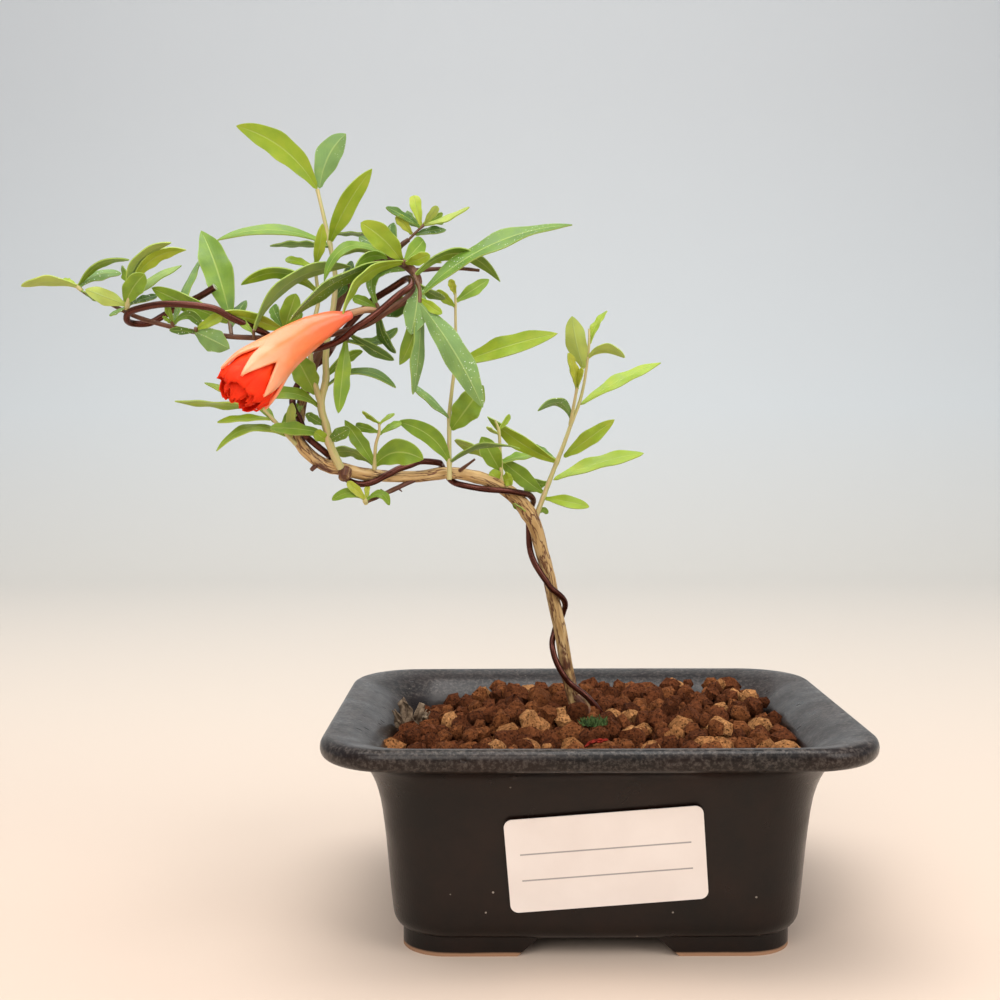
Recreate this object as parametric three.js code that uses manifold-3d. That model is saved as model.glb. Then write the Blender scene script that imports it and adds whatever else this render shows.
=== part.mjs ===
// A small pomegranate bonsai: a wired, S-bent trunk with one long branch and one flower,
// growing in granular soil in a glazed rectangular pot.
// Millimetres, +Z up, +X to the right and +Y away from the plant's front.
import * as THREE from 'three';
import { mergeVertices } from 'three/addons/utils/BufferGeometryUtils.js';
import Module from 'manifold-3d';

const wasm = await Module();
wasm.setup();

// ---------------------------------------------------------------- driving dimensions
const GAP = 0.3; // clearance between neighbouring pieces

const POT_LENGTH = 148.4; // over the rim, along X
const POT_DEPTH = 124; // over the rim, along Y, before the long sides' bow
const POT_HEIGHT = 60.6; // feet to rim
const POT_CORNER = 20; // radius of the rim's corners, seen from above
const POT_SIDE_BOW = 1.2; // how far the long sides swell at their middle
const FOOT_HEIGHT = 5;
const FOOT_OUTSIDE = 21; // inset from the rim's outline
const FOOT_INSIDE = 30;
const FOOT_NOTCHES = [[46, 32], [34, 22]]; // width at the ground and at the top, long then short side
const DRAIN_RADIUS = 6;
const DRAIN_X = 26;
const MESH_SIZE = 17; // square of plastic mesh over each drain
const MESH_BAR = 1.8;
const MESH_THICKNESS = 0.8;

const SOIL_TOP = 53.5; // level that the granules sit in
const SOIL_FOOT = 26.5; // inset from the rim's outline, at the pot's floor
const SOIL_EDGE = 15; // and at its surface
const GRAIN_PITCH = 9.8;
const GRAIN_SHIFT = [-0.7, 0.7];
const GRAIN_HEIGHT = [2, 4.6]; // above the soil's level
const CROWN_REACH = [0.5, 0.7]; // of the way from a granule's middle to its edge
const VALLEY = [52.3, 53.9]; // heights between granules

const WIRE_RADIUS = 0.9; // training wire, 1.8 mm
const WIRE_SIDES = 6;
const WIRE_STEPS = 110;
const WIRE_TURN_STEP = 22; // degrees of winding between the points that its curve passes
const TRUNK_SIDES = 8;
const TRUNK_STEPS = 56;
const STEM_SIDES = 5;
const BLADE_THICKNESS = 1.0; // at a leaf's midrib
const BLADE_ARCH = 0.06; // rise of a leaf's midrib over its length
const BLADE_FOLD = 0.2; // rise of its edges over half its width
const BLADE_ROLL = 40; // degrees, over all leaves

// The bounding box's middle, so that the origin lies at the middle of the object's base.
const POT_CENTRE = new THREE.Vector3(39.3, 4.35, 0);

// Branches, wire and leaves are laid out on the front elevation: u to the right and v up on
// the plane y = 0, as an eye at EYE sees them, then moved along that line of sight to depth y.
const EYE = new THREE.Vector3(-25.3, -413, 141.1);
const LIFT = 1.4; // of the elevation's v = 0 above the feet

function at(u, v, y) {
  const reach = (y - EYE.y) / -EYE.y;
  return new THREE.Vector3(EYE.x + (u - EYE.x) * reach, y, EYE.z + (v + LIFT - EYE.z) * reach);
}

// Trunk and its long branch, root to tip: [u, v, y, radius].
const TRUNK = [
  [-3.5, 44, 15, 2.6],
  [-4, 59.5, 15, 2.2],
  [-5.5, 64.5, 14, 2],
  [-7, 72, 12, 1.95],
  [-8.5, 81, 10, 1.9],
  [-10.5, 90, 8, 1.9],
  [-12, 97.5, 6, 1.9],
  [-14, 104.5, 4, 1.95],
  [-16, 112, 1, 2.1],
  [-19.5, 118, -2, 2.2],
  [-24.5, 122.5, -6, 2],
  [-30.5, 125.5, -10, 1.8],
  [-36.5, 127, -13, 1.7],
  [-42.5, 127.5, -16, 1.65],
  [-49.5, 126.5, -20, 1.6],
  [-57, 126.5, -23, 1.6],
  [-64.5, 127, -26, 1.65],
  [-71.5, 128.5, -29, 1.75],
  [-77.5, 130, -31, 1.7],
  [-82.5, 133.5, -33, 1.6],
  [-85.5, 138, -34, 1.55],
  [-85, 143, -34, 1.45],
  [-84, 148.5, -34, 1.35],
  [-82.5, 153.5, -34, 1.3],
  [-80, 160.5, -33, 1.25],
  [-76.5, 168, -32, 1.2],
  [-73.5, 176, -31, 1.15],
  [-71, 180.5, -31, 1.1],
  [-67.5, 184, -32, 1.1],
  [-63, 188, -34, 1.1],
  [-57.5, 189.5, -38, 1.2],
  [-51.5, 186.5, -43, 1.2],
  [-50, 182.5, -47, 1.1],
  [-53, 178.5, -49.5, 1],
  [-58.5, 175, -50, 0.9],
  [-65, 171, -50, 0.85],
  [-71.5, 169, -49, 0.8],
  [-78, 167.5, -48, 0.75],
  [-85, 166, -47, 0.72],
  [-94.5, 167, -46, 0.7],
  [-104.5, 167.5, -45, 0.68],
  [-115.5, 169, -43, 0.65],
  [-122.5, 170.5, -42, 0.62],
  [-132.5, 173.5, -40, 0.6],
  [-140.5, 177.5, -38, 0.5],
  [-147.5, 180.5, -36, 0.4],
];

// Smaller wood grown from the trunk: end radii, then [u, v, y] points.
const TWIGS = [
  { radii: [1.8, 1.5], path: [[-71.5, 128.5, -30], [-72, 126, -32]] },
  { radii: [0.8, 0.6], path: [[-79, 131, -31], [-81.5, 128.5, -33]] },
  { radii: [0.75, 0.5], path: [[-49.5, 126.5, -20], [-54.5, 124, -23], [-61, 121, -26], [-65.5, 119, -28]] },
  { radii: [0.8, 0.6], path: [[-57.5, 189.5, -38], [-55, 193.5, -38], [-52.5, 195.5, -38]] },
  { radii: [0.6, 0.4], path: [[-51.5, 186.5, -43], [-43.5, 187, -42], [-37, 187, -41], [-32, 186.5, -40]] },
  { radii: [0.6, 0.3], path: [[-39.5, 127, -14.5], [-33.5, 131.5, -17]] },
  { radii: [1.3, 1.0], path: [[-3.5, 61, 13], [-0.5, 58, 10], [1.5, 52, 8]] },
];

// The training wire comes out of the soil, winds up the trunk, leaves it for the branch and
// ends in a free cut end. Start and end are [u, v, y] points. In between, each entry says at
// which TRUNK point (counted from 0), how far round in degrees (0 at the front) and with how
// much slack the wire lies.
const WIRE_START = [
  [8, 46, 13], [5, 53, 12.5], [3, 57, 11], [-1, 61.5, 9.8],
];
const WIRE_TURNS = [
  [2.3, 0, 0], [3.5, -90, 0], [4.15, -180, 0], [4.8, -270, 0], [5.6, -360, 0], [7, -450, 0],
  [8.3, -540, 0], [9, -630, 0], [9.7, -690, 0], [10.4, -735, 0], [11.2, -790, 0], [12.2, -815, 0],
  [12.75, -900, 0], [13.15, -985, 0], [14, -1000, 1.3], [15, -1040, 0.3], [15.6, -1085, 0],
  [16.4, -1165, 0], [17.2, -1260, 0], [18.2, -1345, 0], [19.5, -1365, 0], [20.5, -1405, 0],
  [21.1, -1440, 0], [22, -1525, 0], [23, -1560, 0], [23.8, -1620, 0], [24.6, -1710, 0],
];
const WIRE_END = [
  [-74, 166, -35.5], [-69, 172, -39], [-63, 178, -42], [-57.5, 181.5, -44], [-53.5, 184, -46],
  [-52, 184, -49], [-52, 182, -52], [-55.5, 179.5, -53.5], [-61.5, 174.5, -53.5],
  [-65, 172, -53.5], [-68, 170, -53], [-72.5, 166.5, -51.5], [-77.5, 164.5, -50],
  [-83, 163.5, -47.5], [-87.5, 164, -44.5], [-91, 165.5, -43.2], [-94, 168, -43.8],
  [-99, 170.5, -46.5], [-104.5, 173, -48], [-109, 175.5, -48.5], [-114, 176.5, -48.5],
  [-119.5, 177, -48], [-124.5, 177, -47], [-130.5, 176, -45], [-134.5, 174.5, -43],
  [-135, 172.5, -41.2], [-133.5, 171.5, -39], [-128.5, 171.5, -36.5], [-124.5, 173.5, -36],
  [-119.5, 176.5, -37], [-114, 179, -38], [-109, 182, -39],
];

// Leafy shoots. A leaf is [u, v of its base, u, v of its tip, width, dy from base to tip, bow
// of its midrib to the left of that line]; its base takes its depth from the nearest stem.
const SHOOTS = [
  {
    name: 'shoot_right_tall', tone: 'young',
    stems: [
      {
        radii: [0.95, 0.35],
        path: [
          [-16, 113.5, 1], [-13, 121.5, 0], [-10.5, 128, -1], [-7.5, 135.5, -3], [-5, 142.5, -4],
          [-3, 147.5, -5], [-1.5, 153.5, -6], [0, 165.5, -8], [0, 169.5, -8],
        ],
      },
      {
        radii: [0.6, 0.4],
        path: [
          [-5.5, 141.5, -4], [-3.5, 152.5, -9],
        ],
      },
    ],
    leaves: [
      [-1.5, 158, -5, 173, 6, -4, 0],
      [0, 165, 5, 175, 2.5, 4, 0],
      [-0.5, 161, 10.5, 161, 2.5, -5, 3],
      [-2.5, 147.5, 21, 159.5, 4, 7, 0],
      [-7.5, 132, 7.5, 143, 4.5, -8, 0],
      [-10.5, 125.5, 16, 133.5, 4, 5, 0],
      [-13, 120, 0, 117.5, 3.5, -6, 0],
      [-15.5, 114.5, -12, 115.5, 1.5, 3, 1.5],
      [-5, 143, -13.5, 143.5, 2.5, -7, -6.5],
      [-9.5, 130.5, -30, 143.5, 4.5, -6, 0],
      [-13.5, 121.5, -26, 131.5, 5, -3, 0],
      [-12, 124.5, -19.5, 123.5, 4.5, 9, 0],
      [-16, 114, -22.5, 118.5, 1.5, -6, 0],
      [-3.5, 152, -6, 162.5, 2.5, -7, 0],
      [-3.5, 152, -2, 158, 1.5, -4, 0],
      [-9.5, 131, -16.5, 135.5, 2.5, 4, 0],
    ],
  },
  {
    name: 'shoot_right_low', tone: 'young',
    stems: [
      {
        radii: [0.7, 0.3],
        path: [
          [-25.5, 122.5, -7], [-26, 131, -9], [-26.5, 140, -10], [-27.5, 143, -10],
        ],
      },
    ],
    leaves: [
      [-26, 128, -31.5, 138, 5.5, -5, 0],
      [-26, 125, -29, 127.5, 4, -3, 0],
      [-25.5, 125, -22.5, 126, 4, -2, 0],
      [-26, 132, -39.5, 137, 2.5, 7, 0],
      [-26, 130.5, -13.5, 133, 2.5, 16, 0],
      [-26.5, 140, -23, 144.5, 1.5, 2, 0],
      [-26.5, 139, -30, 141, 1, -3, 0],
    ],
  },
  {
    name: 'shoot_mid', tone: 'young',
    stems: [
      {
        radii: [0.9, 0.35],
        path: [
          [-41, 125.5, -20], [-41, 130, -19.5], [-41, 140, -19], [-41, 144, -19], [-40, 153, -21],
          [-39, 161.5, -22], [-39, 169, -23], [-39, 175, -23], [-39, 180.5, -23],
        ],
      },
    ],
    leaves: [
      [-40.5, 140, -31, 153, 7.5, -5, 0],
      [-41, 143.5, -52, 153, 2, -7, 0],
      [-41, 130.5, -56, 142.5, 5, -6, -2.5],
      [-41, 130.5, -20.5, 135, 2, -7, 3.5],
      [-39, 159, -9.5, 168.5, 5, -10, 0],
      [-39, 177.5, -29, 184, 3.5, 4, 0],
      [-39, 176, -44.5, 180.5, 2.5, -4, 0],
      [-39, 179.5, -40.5, 184, 2, -2, 0],
    ],
  },
  {
    name: 'shoot_mid_low', tone: 'young',
    stems: [
      {
        radii: [0.55, 0.3],
        path: [
          [-63, 128.5, -26.5], [-62.5, 136, -29], [-61.5, 139.5, -30], [-61.5, 142, -30],
        ],
      },
    ],
    leaves: [
      [-61.5, 142, -66.5, 145.5, 1, -3, 0],
      [-61.5, 142, -57, 145, 1, 2, 0],
      [-61.5, 139.5, -68.5, 141.5, 2.5, 5, 0],
      [-61.5, 139, -55, 142.5, 2, 4, 0],
      [-63, 129.5, -48.5, 131.5, 7, -6, 3],
      [-63, 130, -71.5, 143, 4, -4, 0],
      [-63, 129.5, -77, 132.5, 3, 6, -3],
    ],
  },
  {
    name: 'shoot_tall', tone: 'young',
    stems: [
      {
        radii: [1.2, 0.5],
        path: [
          [-73, 129, -31], [-76, 136, -34], [-77, 141, -35.5], [-78.5, 147.5, -37],
          [-77, 155, -37.5], [-77, 161, -38], [-76, 169.5, -38.5], [-74.5, 177, -38],
          [-74, 184.5, -37], [-75, 191.5, -36], [-76.5, 199, -35], [-79, 210, -34],
        ],
      },
      {
        radii: [0.85, 0.4],
        path: [
          [-78.5, 147.5, -37], [-80.5, 155, -39], [-81.5, 162, -40.5], [-80.5, 171, -40],
          [-79, 178, -39], [-79.5, 184, -39], [-80, 188.5, -39],
        ],
      },
    ],
    leaves: [
      [-80, 150.5, -86, 162, 6.5, -4, 0],
      [-77, 153.5, -57, 152.5, 3, -4, 4],
      [-77, 155.5, -66, 163, 2.5, 4, 1.5],
      [-76.5, 137, -70.5, 140.5, 3.5, -5, 0],
      [-76.5, 137, -80.5, 139.5, 3, -4, 0],
      [-77.5, 141.5, -83, 145, 2.5, -3, 0],
      [-79, 147, -96, 149.5, 3.5, -5, -2],
      [-77, 139, -93.5, 141, 3, -9, 0],
      [-79, 210, -102.5, 228.5, 7.5, -7, -3],
      [-78.5, 210, -70.5, 226, 7.5, 6, 1.5],
      [-75.5, 194.5, -63, 216, 5.5, -9, 1],
      [-76, 193.5, -107.5, 196, 2.5, -7, -3],
      [-75.5, 191.5, -93, 193.5, 1.5, -3, 0],
      [-76, 196.5, -64.5, 196.5, 1.5, 4, 0],
      [-74.5, 188, -63, 191.5, 1.5, 5, 3],
      [-79.5, 188, -77.5, 200, 3, -4, 0],
      [-80, 187.5, -88.5, 190, 2, 3, 0],
      [-79, 180, -101.5, 182, 3, -5, -5],
      [-74.5, 178, -69, 189, 3.5, 12, 0],
    ],
  },
  {
    name: 'shoot_crown_centre', tone: 'mature',
    stems: [
      {
        radii: [1, 1],
        path: [
          [-59, 191, -41.5], [-56, 190, -43], [-53.5, 188.5, -46],
        ],
      },
    ],
    leaves: [
      [-59, 190.5, -78, 181.5, 3, -5, -7.5],
      [-58.5, 190, -68, 187.5, 2.5, -6, -2],
      [-59, 191, -67, 196.5, 2.5, 6, 0],
      [-54.5, 189, -66.5, 200.5, 7.5, -7, 0],
      [-54, 189, -87, 171.5, 4, -11, -5],
      [-53.5, 188.5, -71.5, 173.5, 3, -10, -5],
      [-54, 189, -48, 195.5, 4.5, 5, 0],
      [-53.5, 188.5, -46.5, 191, 3, -5, 0],
      [-55, 189.5, -43, 188.5, 1, 8, 1],
      [-56.5, 190, -58, 200.5, 3.5, 12, 0],
    ],
  },
  {
    name: 'shoot_crown_top', tone: 'mature',
    stems: [
      {
        radii: [0.6, 0.4],
        path: [
          [-52.5, 196, -38], [-50, 198, -38], [-47, 200.5, -38],
        ],
      },
    ],
    leaves: [
      [-49, 199, -59, 205, 2, -4, 0],
      [-49, 199.5, -51, 208, 3.5, 3, 0],
      [-48, 200, -44, 205, 2, -4, 0],
      [-47.5, 200.5, -42.5, 203, 1.5, 4, 0],
      [-48, 199.5, -35, 204.5, 2.5, -5, 0],
      [-47.5, 200.5, -42.5, 200.5, 1.5, 5, 0],
      [-51.5, 197, -56, 202.5, 2.5, -3, 0],
      [-50.5, 197, -41.5, 198.5, 2, 5, 0],
      [-49, 199, -53.5, 203, 2.5, 8, 0],
    ],
  },
  {
    name: 'shoot_crown_right', tone: 'mature',
    stems: [
      {
        radii: [1, 0.8],
        path: [
          [-51, 185, -46.5], [-49.5, 181, -49], [-49.5, 177, -50.5],
        ],
      },
    ],
    leaves: [
      [-49.5, 179, -5, 200, 4.8, 8, 2.8],
      [-51, 184.5, -26, 183, 2.5, 6, 9],
      [-49.5, 178, -31, 147, 7, -9, 0.5],
      [-50, 182.5, -52, 168, 6, -5, 0.5],
      [-49.5, 177, -52, 150.5, 3, -3, 0],
      [-49.5, 177.5, -55.5, 159, 4.5, 3, 1],
      [-49.5, 178.5, -60.5, 174, 4.5, 5, 0],
      [-49.5, 178.5, -43, 174, 2.5, -4, 0],
      [-50, 182.5, -42, 178, 2.5, 9, 0],
    ],
  },
  {
    name: 'spur_branch_middle', tone: 'mature',
    stems: [
      {
        radii: [0.9, 0.7],
        path: [
          [-61, 174.5, -48], [-62, 177, -47],
        ],
      },
    ],
    leaves: [
      [-62, 176.5, -53.5, 186.5, 3.5, 2, 5.5],
      [-61.5, 175, -56.5, 162.5, 2.5, 4, -1],
      [-61.5, 175.5, -69, 179, 2.5, 5, 0],
    ],
  },
  {
    name: 'spur_branch_inner', tone: 'mature',
    stems: [
      {
        radii: [0.9, 0.7],
        path: [
          [-69.5, 169, -47], [-71, 166.5, -46],
        ],
      },
    ],
    leaves: [
      [-70, 168, -57, 160.5, 2.5, 3, 0],
      [-71, 166.5, -73.5, 145, 4, -3, -0.5],
      [-71, 166.5, -56, 170, 2, 5, -2.5],
    ],
  },
  {
    name: 'spur_behind_flower', tone: 'mature',
    stems: [
      {
        radii: [0.8, 0.6],
        path: [
          [-89, 166.5, -44], [-89, 169.5, -42],
        ],
      },
    ],
    leaves: [
      [-89, 169.5, -85.5, 180, 5.5, -3, 0],
      [-89, 169, -109, 174, 4, -6, -1.5],
      [-89, 169, -84, 175, 3, 5, 0],
      [-89, 169.5, -92.5, 176.5, 2.5, 7, 0],
    ],
  },
  {
    name: 'spur_long_leaf', tone: 'mature',
    stems: [
      {
        radii: [0.6, 0.5],
        path: [
          [-98, 167, -47], [-98, 169.5, -49.5],
        ],
      },
    ],
    leaves: [
      [-98, 169, -69.5, 188, 3.5, 9, 7.5],
      [-98, 168.5, -103, 173, 2, 2, 0],
    ],
  },
  {
    name: 'spur_upright', tone: 'mature',
    stems: [
      {
        radii: [0.9, 0.8],
        path: [
          [-104.5, 168, -43.5], [-105, 172, -38.5],
        ],
      },
    ],
    leaves: [
      [-105, 171, -112, 198.5, 8, 8, 0],
      [-105, 171.5, -128, 181.5, 4.5, -1, -0.5],
      [-105, 170, -100, 178, 2.5, 8, 0],
    ],
  },
  {
    name: 'spur_left_middle', tone: 'mature',
    stems: [
      {
        radii: [0.8, 0.7],
        path: [
          [-114.5, 169, -44.5], [-115, 170, -46.5],
        ],
      },
    ],
    leaves: [
      [-115, 169, -105, 164, 6, -3, 0],
      [-115, 169.5, -107.5, 173.5, 2.5, -1, 0],
      [-115, 169, -122.5, 169.5, 2, -5, 0],
    ],
  },
  {
    name: 'spur_left_outer', tone: 'mature',
    stems: [
      {
        radii: [0.6, 0.5],
        path: [
          [-121.5, 170.5, -43.5], [-122, 172, -44.5],
        ],
      },
    ],
    leaves: [
      [-121.5, 171, -113, 170, 2.5, 0, 3],
      [-121.5, 171.5, -123.5, 177, 1.5, -3, 0],
      [-121.5, 171, -124.5, 173.5, 1, -2, 0],
      [-121.5, 171, -113, 190.5, 2, 18, 0],
    ],
  },
  {
    name: 'shoot_tip_up', tone: 'young',
    stems: [
      {
        radii: [0.75, 0.5],
        path: [
          [-135, 175.5, -40], [-134.5, 178, -41], [-133, 183, -42],
        ],
      },
    ],
    leaves: [
      [-135, 176, -146.5, 181, 6, -4, 0],
      [-134.5, 177, -129, 185.5, 5, -4, 0],
      [-133.5, 180.5, -121.5, 194.5, 4, -2, 2.5],
      [-133.5, 181.5, -117, 192.5, 3, 4, 2],
      [-134.5, 178, -118.5, 188, 2.5, 7, 0],
      [-134.5, 177, -126, 179.5, 1.5, 5, 0],
      [-135, 176, -140, 173.5, 1, -2, 0],
      [-133.5, 182.5, -136.5, 188, 2.5, 6, 0],
    ],
  },
  {
    name: 'shoot_tip', tone: 'young',
    stems: [
      {
        radii: [0.5, 0.4],
        path: [
          [-148, 181, -36], [-149.5, 182.5, -35.5],
        ],
      },
    ],
    leaves: [
      [-149, 181.5, -166, 182.5, 2.5, -3, -3],
      [-148.5, 181, -134, 189.5, 2, -4, 3],
      [-148.5, 181, -140.5, 177.5, 1.5, -3, 0],
      [-149, 181.5, -136.5, 186, 2.5, 4, 0],
      [-149, 182, -153.5, 185, 2.5, 4, 0],
    ],
  },
  {
    name: 'shoot_lower_left', tone: 'young',
    stems: [
      {
        radii: [0.6, 0.4],
        path: [
          [-86, 136, -36], [-90, 140.5, -39], [-95.5, 146.5, -41],
        ],
      },
    ],
    leaves: [
      [-95, 146, -121.5, 148.5, 2, -4, 0],
      [-95, 146, -112.5, 154.5, 2.5, 4, 0],
      [-93, 143.5, -109, 143, 2, -4, 0],
      [-88.5, 138.5, -109.5, 134.5, 2, -5, -3.5],
      [-87.5, 138, -87, 148, 2.5, -3, 0],
      [-90.5, 141, -83.5, 148.5, 2.5, 5, 0],
      [-92, 142.5, -99.5, 150, 2.5, 6, 0],
    ],
  },
  {
    name: 'shoot_twig_end', tone: 'young',
    stems: [
      {
        radii: [0.55, 0.45],
        path: [
          [-65.5, 118.5, -29], [-66, 120, -30],
        ],
      },
    ],
    leaves: [
      [-65.5, 119.5, -71, 125, 2.5, -3, 0],
      [-65.5, 119.5, -65, 124.5, 1.5, 2, 0],
      [-65.5, 119.5, -75.5, 119.5, 2.5, -3, -2],
      [-65.5, 119.5, -58.5, 118, 2.5, 3, 2.5],
    ],
  },
];

const COLOURS = {
  glaze: { color: 0x2b2422, roughness: 0.35, metalness: 0 },
  mesh: { color: 0x1b1b1c, roughness: 0.7, metalness: 0 },
  soil: { color: 0x8a4322, roughness: 1, metalness: 0 },
  bark: { color: 0xb38a55, roughness: 0.85, metalness: 0 },
  wire: { color: 0x4a2420, roughness: 0.35, metalness: 0.7 },
  paper: { color: 0xf2e8e2, roughness: 0.6, metalness: 0 },
  young: { color: 0xa6bf3e, roughness: 0.5, metalness: 0 },
  mature: { color: 0x5f9a38, roughness: 0.5, metalness: 0 },
  calyx: { color: 0xff8a62, roughness: 0.4, metalness: 0 },
  petal: { color: 0xf8401f, roughness: 0.5, metalness: 0 },
};

// ---------------------------------------------------------------- solids

// A closed geometry as a solid, its faces turned outwards.
function solid(geometry) {
  const bare = geometry.index ? geometry.toNonIndexed() : geometry.clone();
  for (const name of Object.keys(bare.attributes)) {
    if (name !== 'position') bare.deleteAttribute(name);
  }
  const merged = mergeVertices(bare, 1e-4);
  const positions = merged.attributes.position.array;
  const index = [];
  let volume = 0;
  for (let i = 0; i < merged.index.count; i += 3) {
    const [a, b, c] = [0, 1, 2].map((k) => merged.index.getX(i + k));
    if (a === b || b === c || c === a) continue;
    index.push(a, b, c);
    const [p, q, r] = [a, b, c].map((v) => new THREE.Vector3().fromArray(positions, 3 * v));
    volume += p.dot(q.cross(r));
  }
  if (volume < 0) index.reverse();
  return new wasm.Manifold(new wasm.Mesh({
    numProp: 3,
    vertProperties: new Float32Array(positions),
    triVerts: new Uint32Array(index),
  }));
}

function geometryOf(body) {
  const { vertProperties, triVerts } = body.getMesh();
  const geometry = new THREE.BufferGeometry();
  geometry.setAttribute('position', new THREE.BufferAttribute(vertProperties, 3));
  geometry.setIndex(new THREE.BufferAttribute(triVerts, 1));
  return geometry;
}

function join(bodies) {
  return bodies.reduce((whole, body) => whole.add(body));
}

// The largest connected piece, without crumbs from a cut or pockets shut in by a join.
function mainPiece(body) {
  return body.decompose().reduce((a, b) => (a.volume() > b.volume() ? a : b));
}

// Skins rings of equally many points, and closes both ends. A last ring of one point is a tip.
function loft(rings) {
  const sides = rings[0].length;
  const points = [];
  const face = (...corners) => points.push(...corners);
  for (let r = 0; r + 1 < rings.length; r += 1) {
    const [low, high] = [rings[r], rings[r + 1]];
    for (let i = 0; i < sides; i += 1) {
      const j = (i + 1) % sides;
      if (high.length === 1) {
        face(low[i], low[j], high[0]);
      } else {
        face(low[i], low[j], high[j]);
        face(low[i], high[j], high[i]);
      }
    }
  }
  const cap = (ring, flip) => {
    for (let i = 1; i + 1 < ring.length; i += 1) {
      if (flip) face(ring[0], ring[i + 1], ring[i]);
      else face(ring[0], ring[i], ring[i + 1]);
    }
  };
  cap(rings[0], true);
  if (rings.at(-1).length > 1) cap(rings.at(-1), false);
  return solid(new THREE.BufferGeometry().setFromPoints(points));
}

// A round stick along a curve. radiusAt takes 0 at the start to 1 at the end, as getPoint does.
function stick(curve, radiusAt, sides, steps) {
  const frames = curve.computeFrenetFrames(steps, false);
  const rings = [];
  for (let i = 0; i <= steps; i += 1) {
    const centre = curve.getPointAt(i / steps);
    const radius = radiusAt(curve.getUtoTmapping(i / steps));
    rings.push(Array.from({ length: sides }, (_, k) => {
      const turn = (2 * Math.PI * k) / sides;
      return centre.clone()
        .addScaledVector(frames.normals[i], radius * Math.cos(turn))
        .addScaledVector(frames.binormals[i], radius * Math.sin(turn));
    }));
  }
  return loft(rings);
}

function curveThrough(points) {
  return new THREE.CatmullRomCurve3(points, false, 'centripetal');
}

function taper([start, end]) {
  return (t) => THREE.MathUtils.lerp(start, end, t);
}

// A seeded stream of numbers from 0 to 1.
function stream(seed) {
  let state = seed;
  return () => {
    state = (state * 1664525 + 1013904223) % 4294967296;
    return state / 4294967296;
  };
}

// ---------------------------------------------------------------- pot

// A rounded rectangle that lies inset from the rim's outline, at height z.
function potRing(inset, z) {
  const [a, b] = [POT_LENGTH / 2 - inset, POT_DEPTH / 2 - inset];
  const corner = Math.max(POT_CORNER - 0.5 * inset, 4);
  const corners = [[1, 1, 0], [-1, 1, 90], [-1, -1, 180], [1, -1, 270]];
  const ring = [];
  for (const [sx, sy, start] of corners) {
    for (let k = 0; k <= 3; k += 1) {
      const turn = THREE.MathUtils.degToRad(start + 30 * k);
      ring.push([sx * (a - corner) + corner * Math.cos(turn), sy * (b - corner) + corner * Math.sin(turn)]);
    }
    if (sx === sy) ring.push([0, sy * b]);
  }
  const bow = (x) => 1 + (POT_SIDE_BOW / (POT_DEPTH / 2)) * Math.max(0, 1 - (x / a) ** 2);
  return ring.map(([x, y]) => new THREE.Vector3(x, y * bow(x), z));
}

// [inset, z] down the outside from the rim, and up the inside to it.
const POT_OUTSIDE = [
  [23, FOOT_HEIGHT], [20.2, FOOT_HEIGHT + 0.8], [18.2, 11.2], [16.4, 31.5], [15, 41.9],
  [13.3, 47.6], [11.2, 51.2], [8, 53.3], [1.3, 55], [0, 58], [0.7, 59.8],
];
const POT_INSIDE = [
  [2.6, POT_HEIGHT], [8, 59.5], [11.5, 57.7], [14.2, 55.6], [17, 52.5],
  [20.4, 41.9], [23.2, 13.8], [24.6, 10.9], [26.6, 10.1],
];

function drains() {
  const [bottom, top] = [FOOT_HEIGHT - 1, POT_INSIDE.at(-1)[1] + 1];
  const shape = new THREE.CylinderGeometry(DRAIN_RADIUS, DRAIN_RADIUS, top - bottom, 16);
  shape.rotateX(Math.PI / 2);
  shape.translate(0, 0, (bottom + top) / 2);
  return join([-DRAIN_X, DRAIN_X].map((x) => solid(shape.clone().translate(x, 0, 0))));
}

// A ring of foot under the body, notched in the middle of each side.
function feet() {
  const band = loft([[0.8, 0], [0, 1.2], [0, FOOT_HEIGHT + 1]].map(([x, z]) => potRing(FOOT_OUTSIDE + x, z)))
    .subtract(loft([-1, FOOT_HEIGHT + 2].map((z) => potRing(FOOT_INSIDE, z))));
  const [long, short] = FOOT_NOTCHES.map(([low, high]) => {
    const outline = new THREE.Shape([
      new THREE.Vector2(-low / 2, -1), new THREE.Vector2(low / 2, -1),
      new THREE.Vector2(high / 2, FOOT_HEIGHT), new THREE.Vector2(-high / 2, FOOT_HEIGHT),
    ]);
    const shape = new THREE.ExtrudeGeometry(outline, { depth: 2 * POT_LENGTH, bevelEnabled: false });
    return shape.translate(0, 0, -POT_LENGTH).rotateX(Math.PI / 2);
  });
  return band.subtract(solid(long)).subtract(solid(short.rotateZ(Math.PI / 2)));
}

function pot() {
  const shell = loft([...POT_OUTSIDE, ...POT_INSIDE].map(([inset, z]) => potRing(inset, z)));
  return shell.add(feet()).subtract(drains());
}

// A square of plastic mesh over a drain hole, held down by the soil.
function drainMesh(x) {
  const z = POT_INSIDE.at(-1)[1] + GAP + MESH_THICKNESS / 2;
  const bars = [];
  for (const i of [-1, 0, 1]) {
    const place = ((MESH_SIZE - MESH_BAR) * i) / 2;
    bars.push(solid(new THREE.BoxGeometry(MESH_SIZE, MESH_BAR, MESH_THICKNESS).translate(x, place, z)));
    bars.push(solid(new THREE.BoxGeometry(MESH_BAR, MESH_SIZE, MESH_THICKNESS).translate(x + place, 0, z)));
  }
  return join(bars);
}

// ---------------------------------------------------------------- wood and wire

const trunkCurve = curveThrough(TRUNK.map(([u, v, y]) => at(u, v, y)));

function trunkRadius(t) {
  const place = t * (TRUNK.length - 1);
  const i = Math.min(Math.floor(place), TRUNK.length - 2);
  return THREE.MathUtils.lerp(TRUNK[i][3], TRUNK[i + 1][3], place - i);
}

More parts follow.
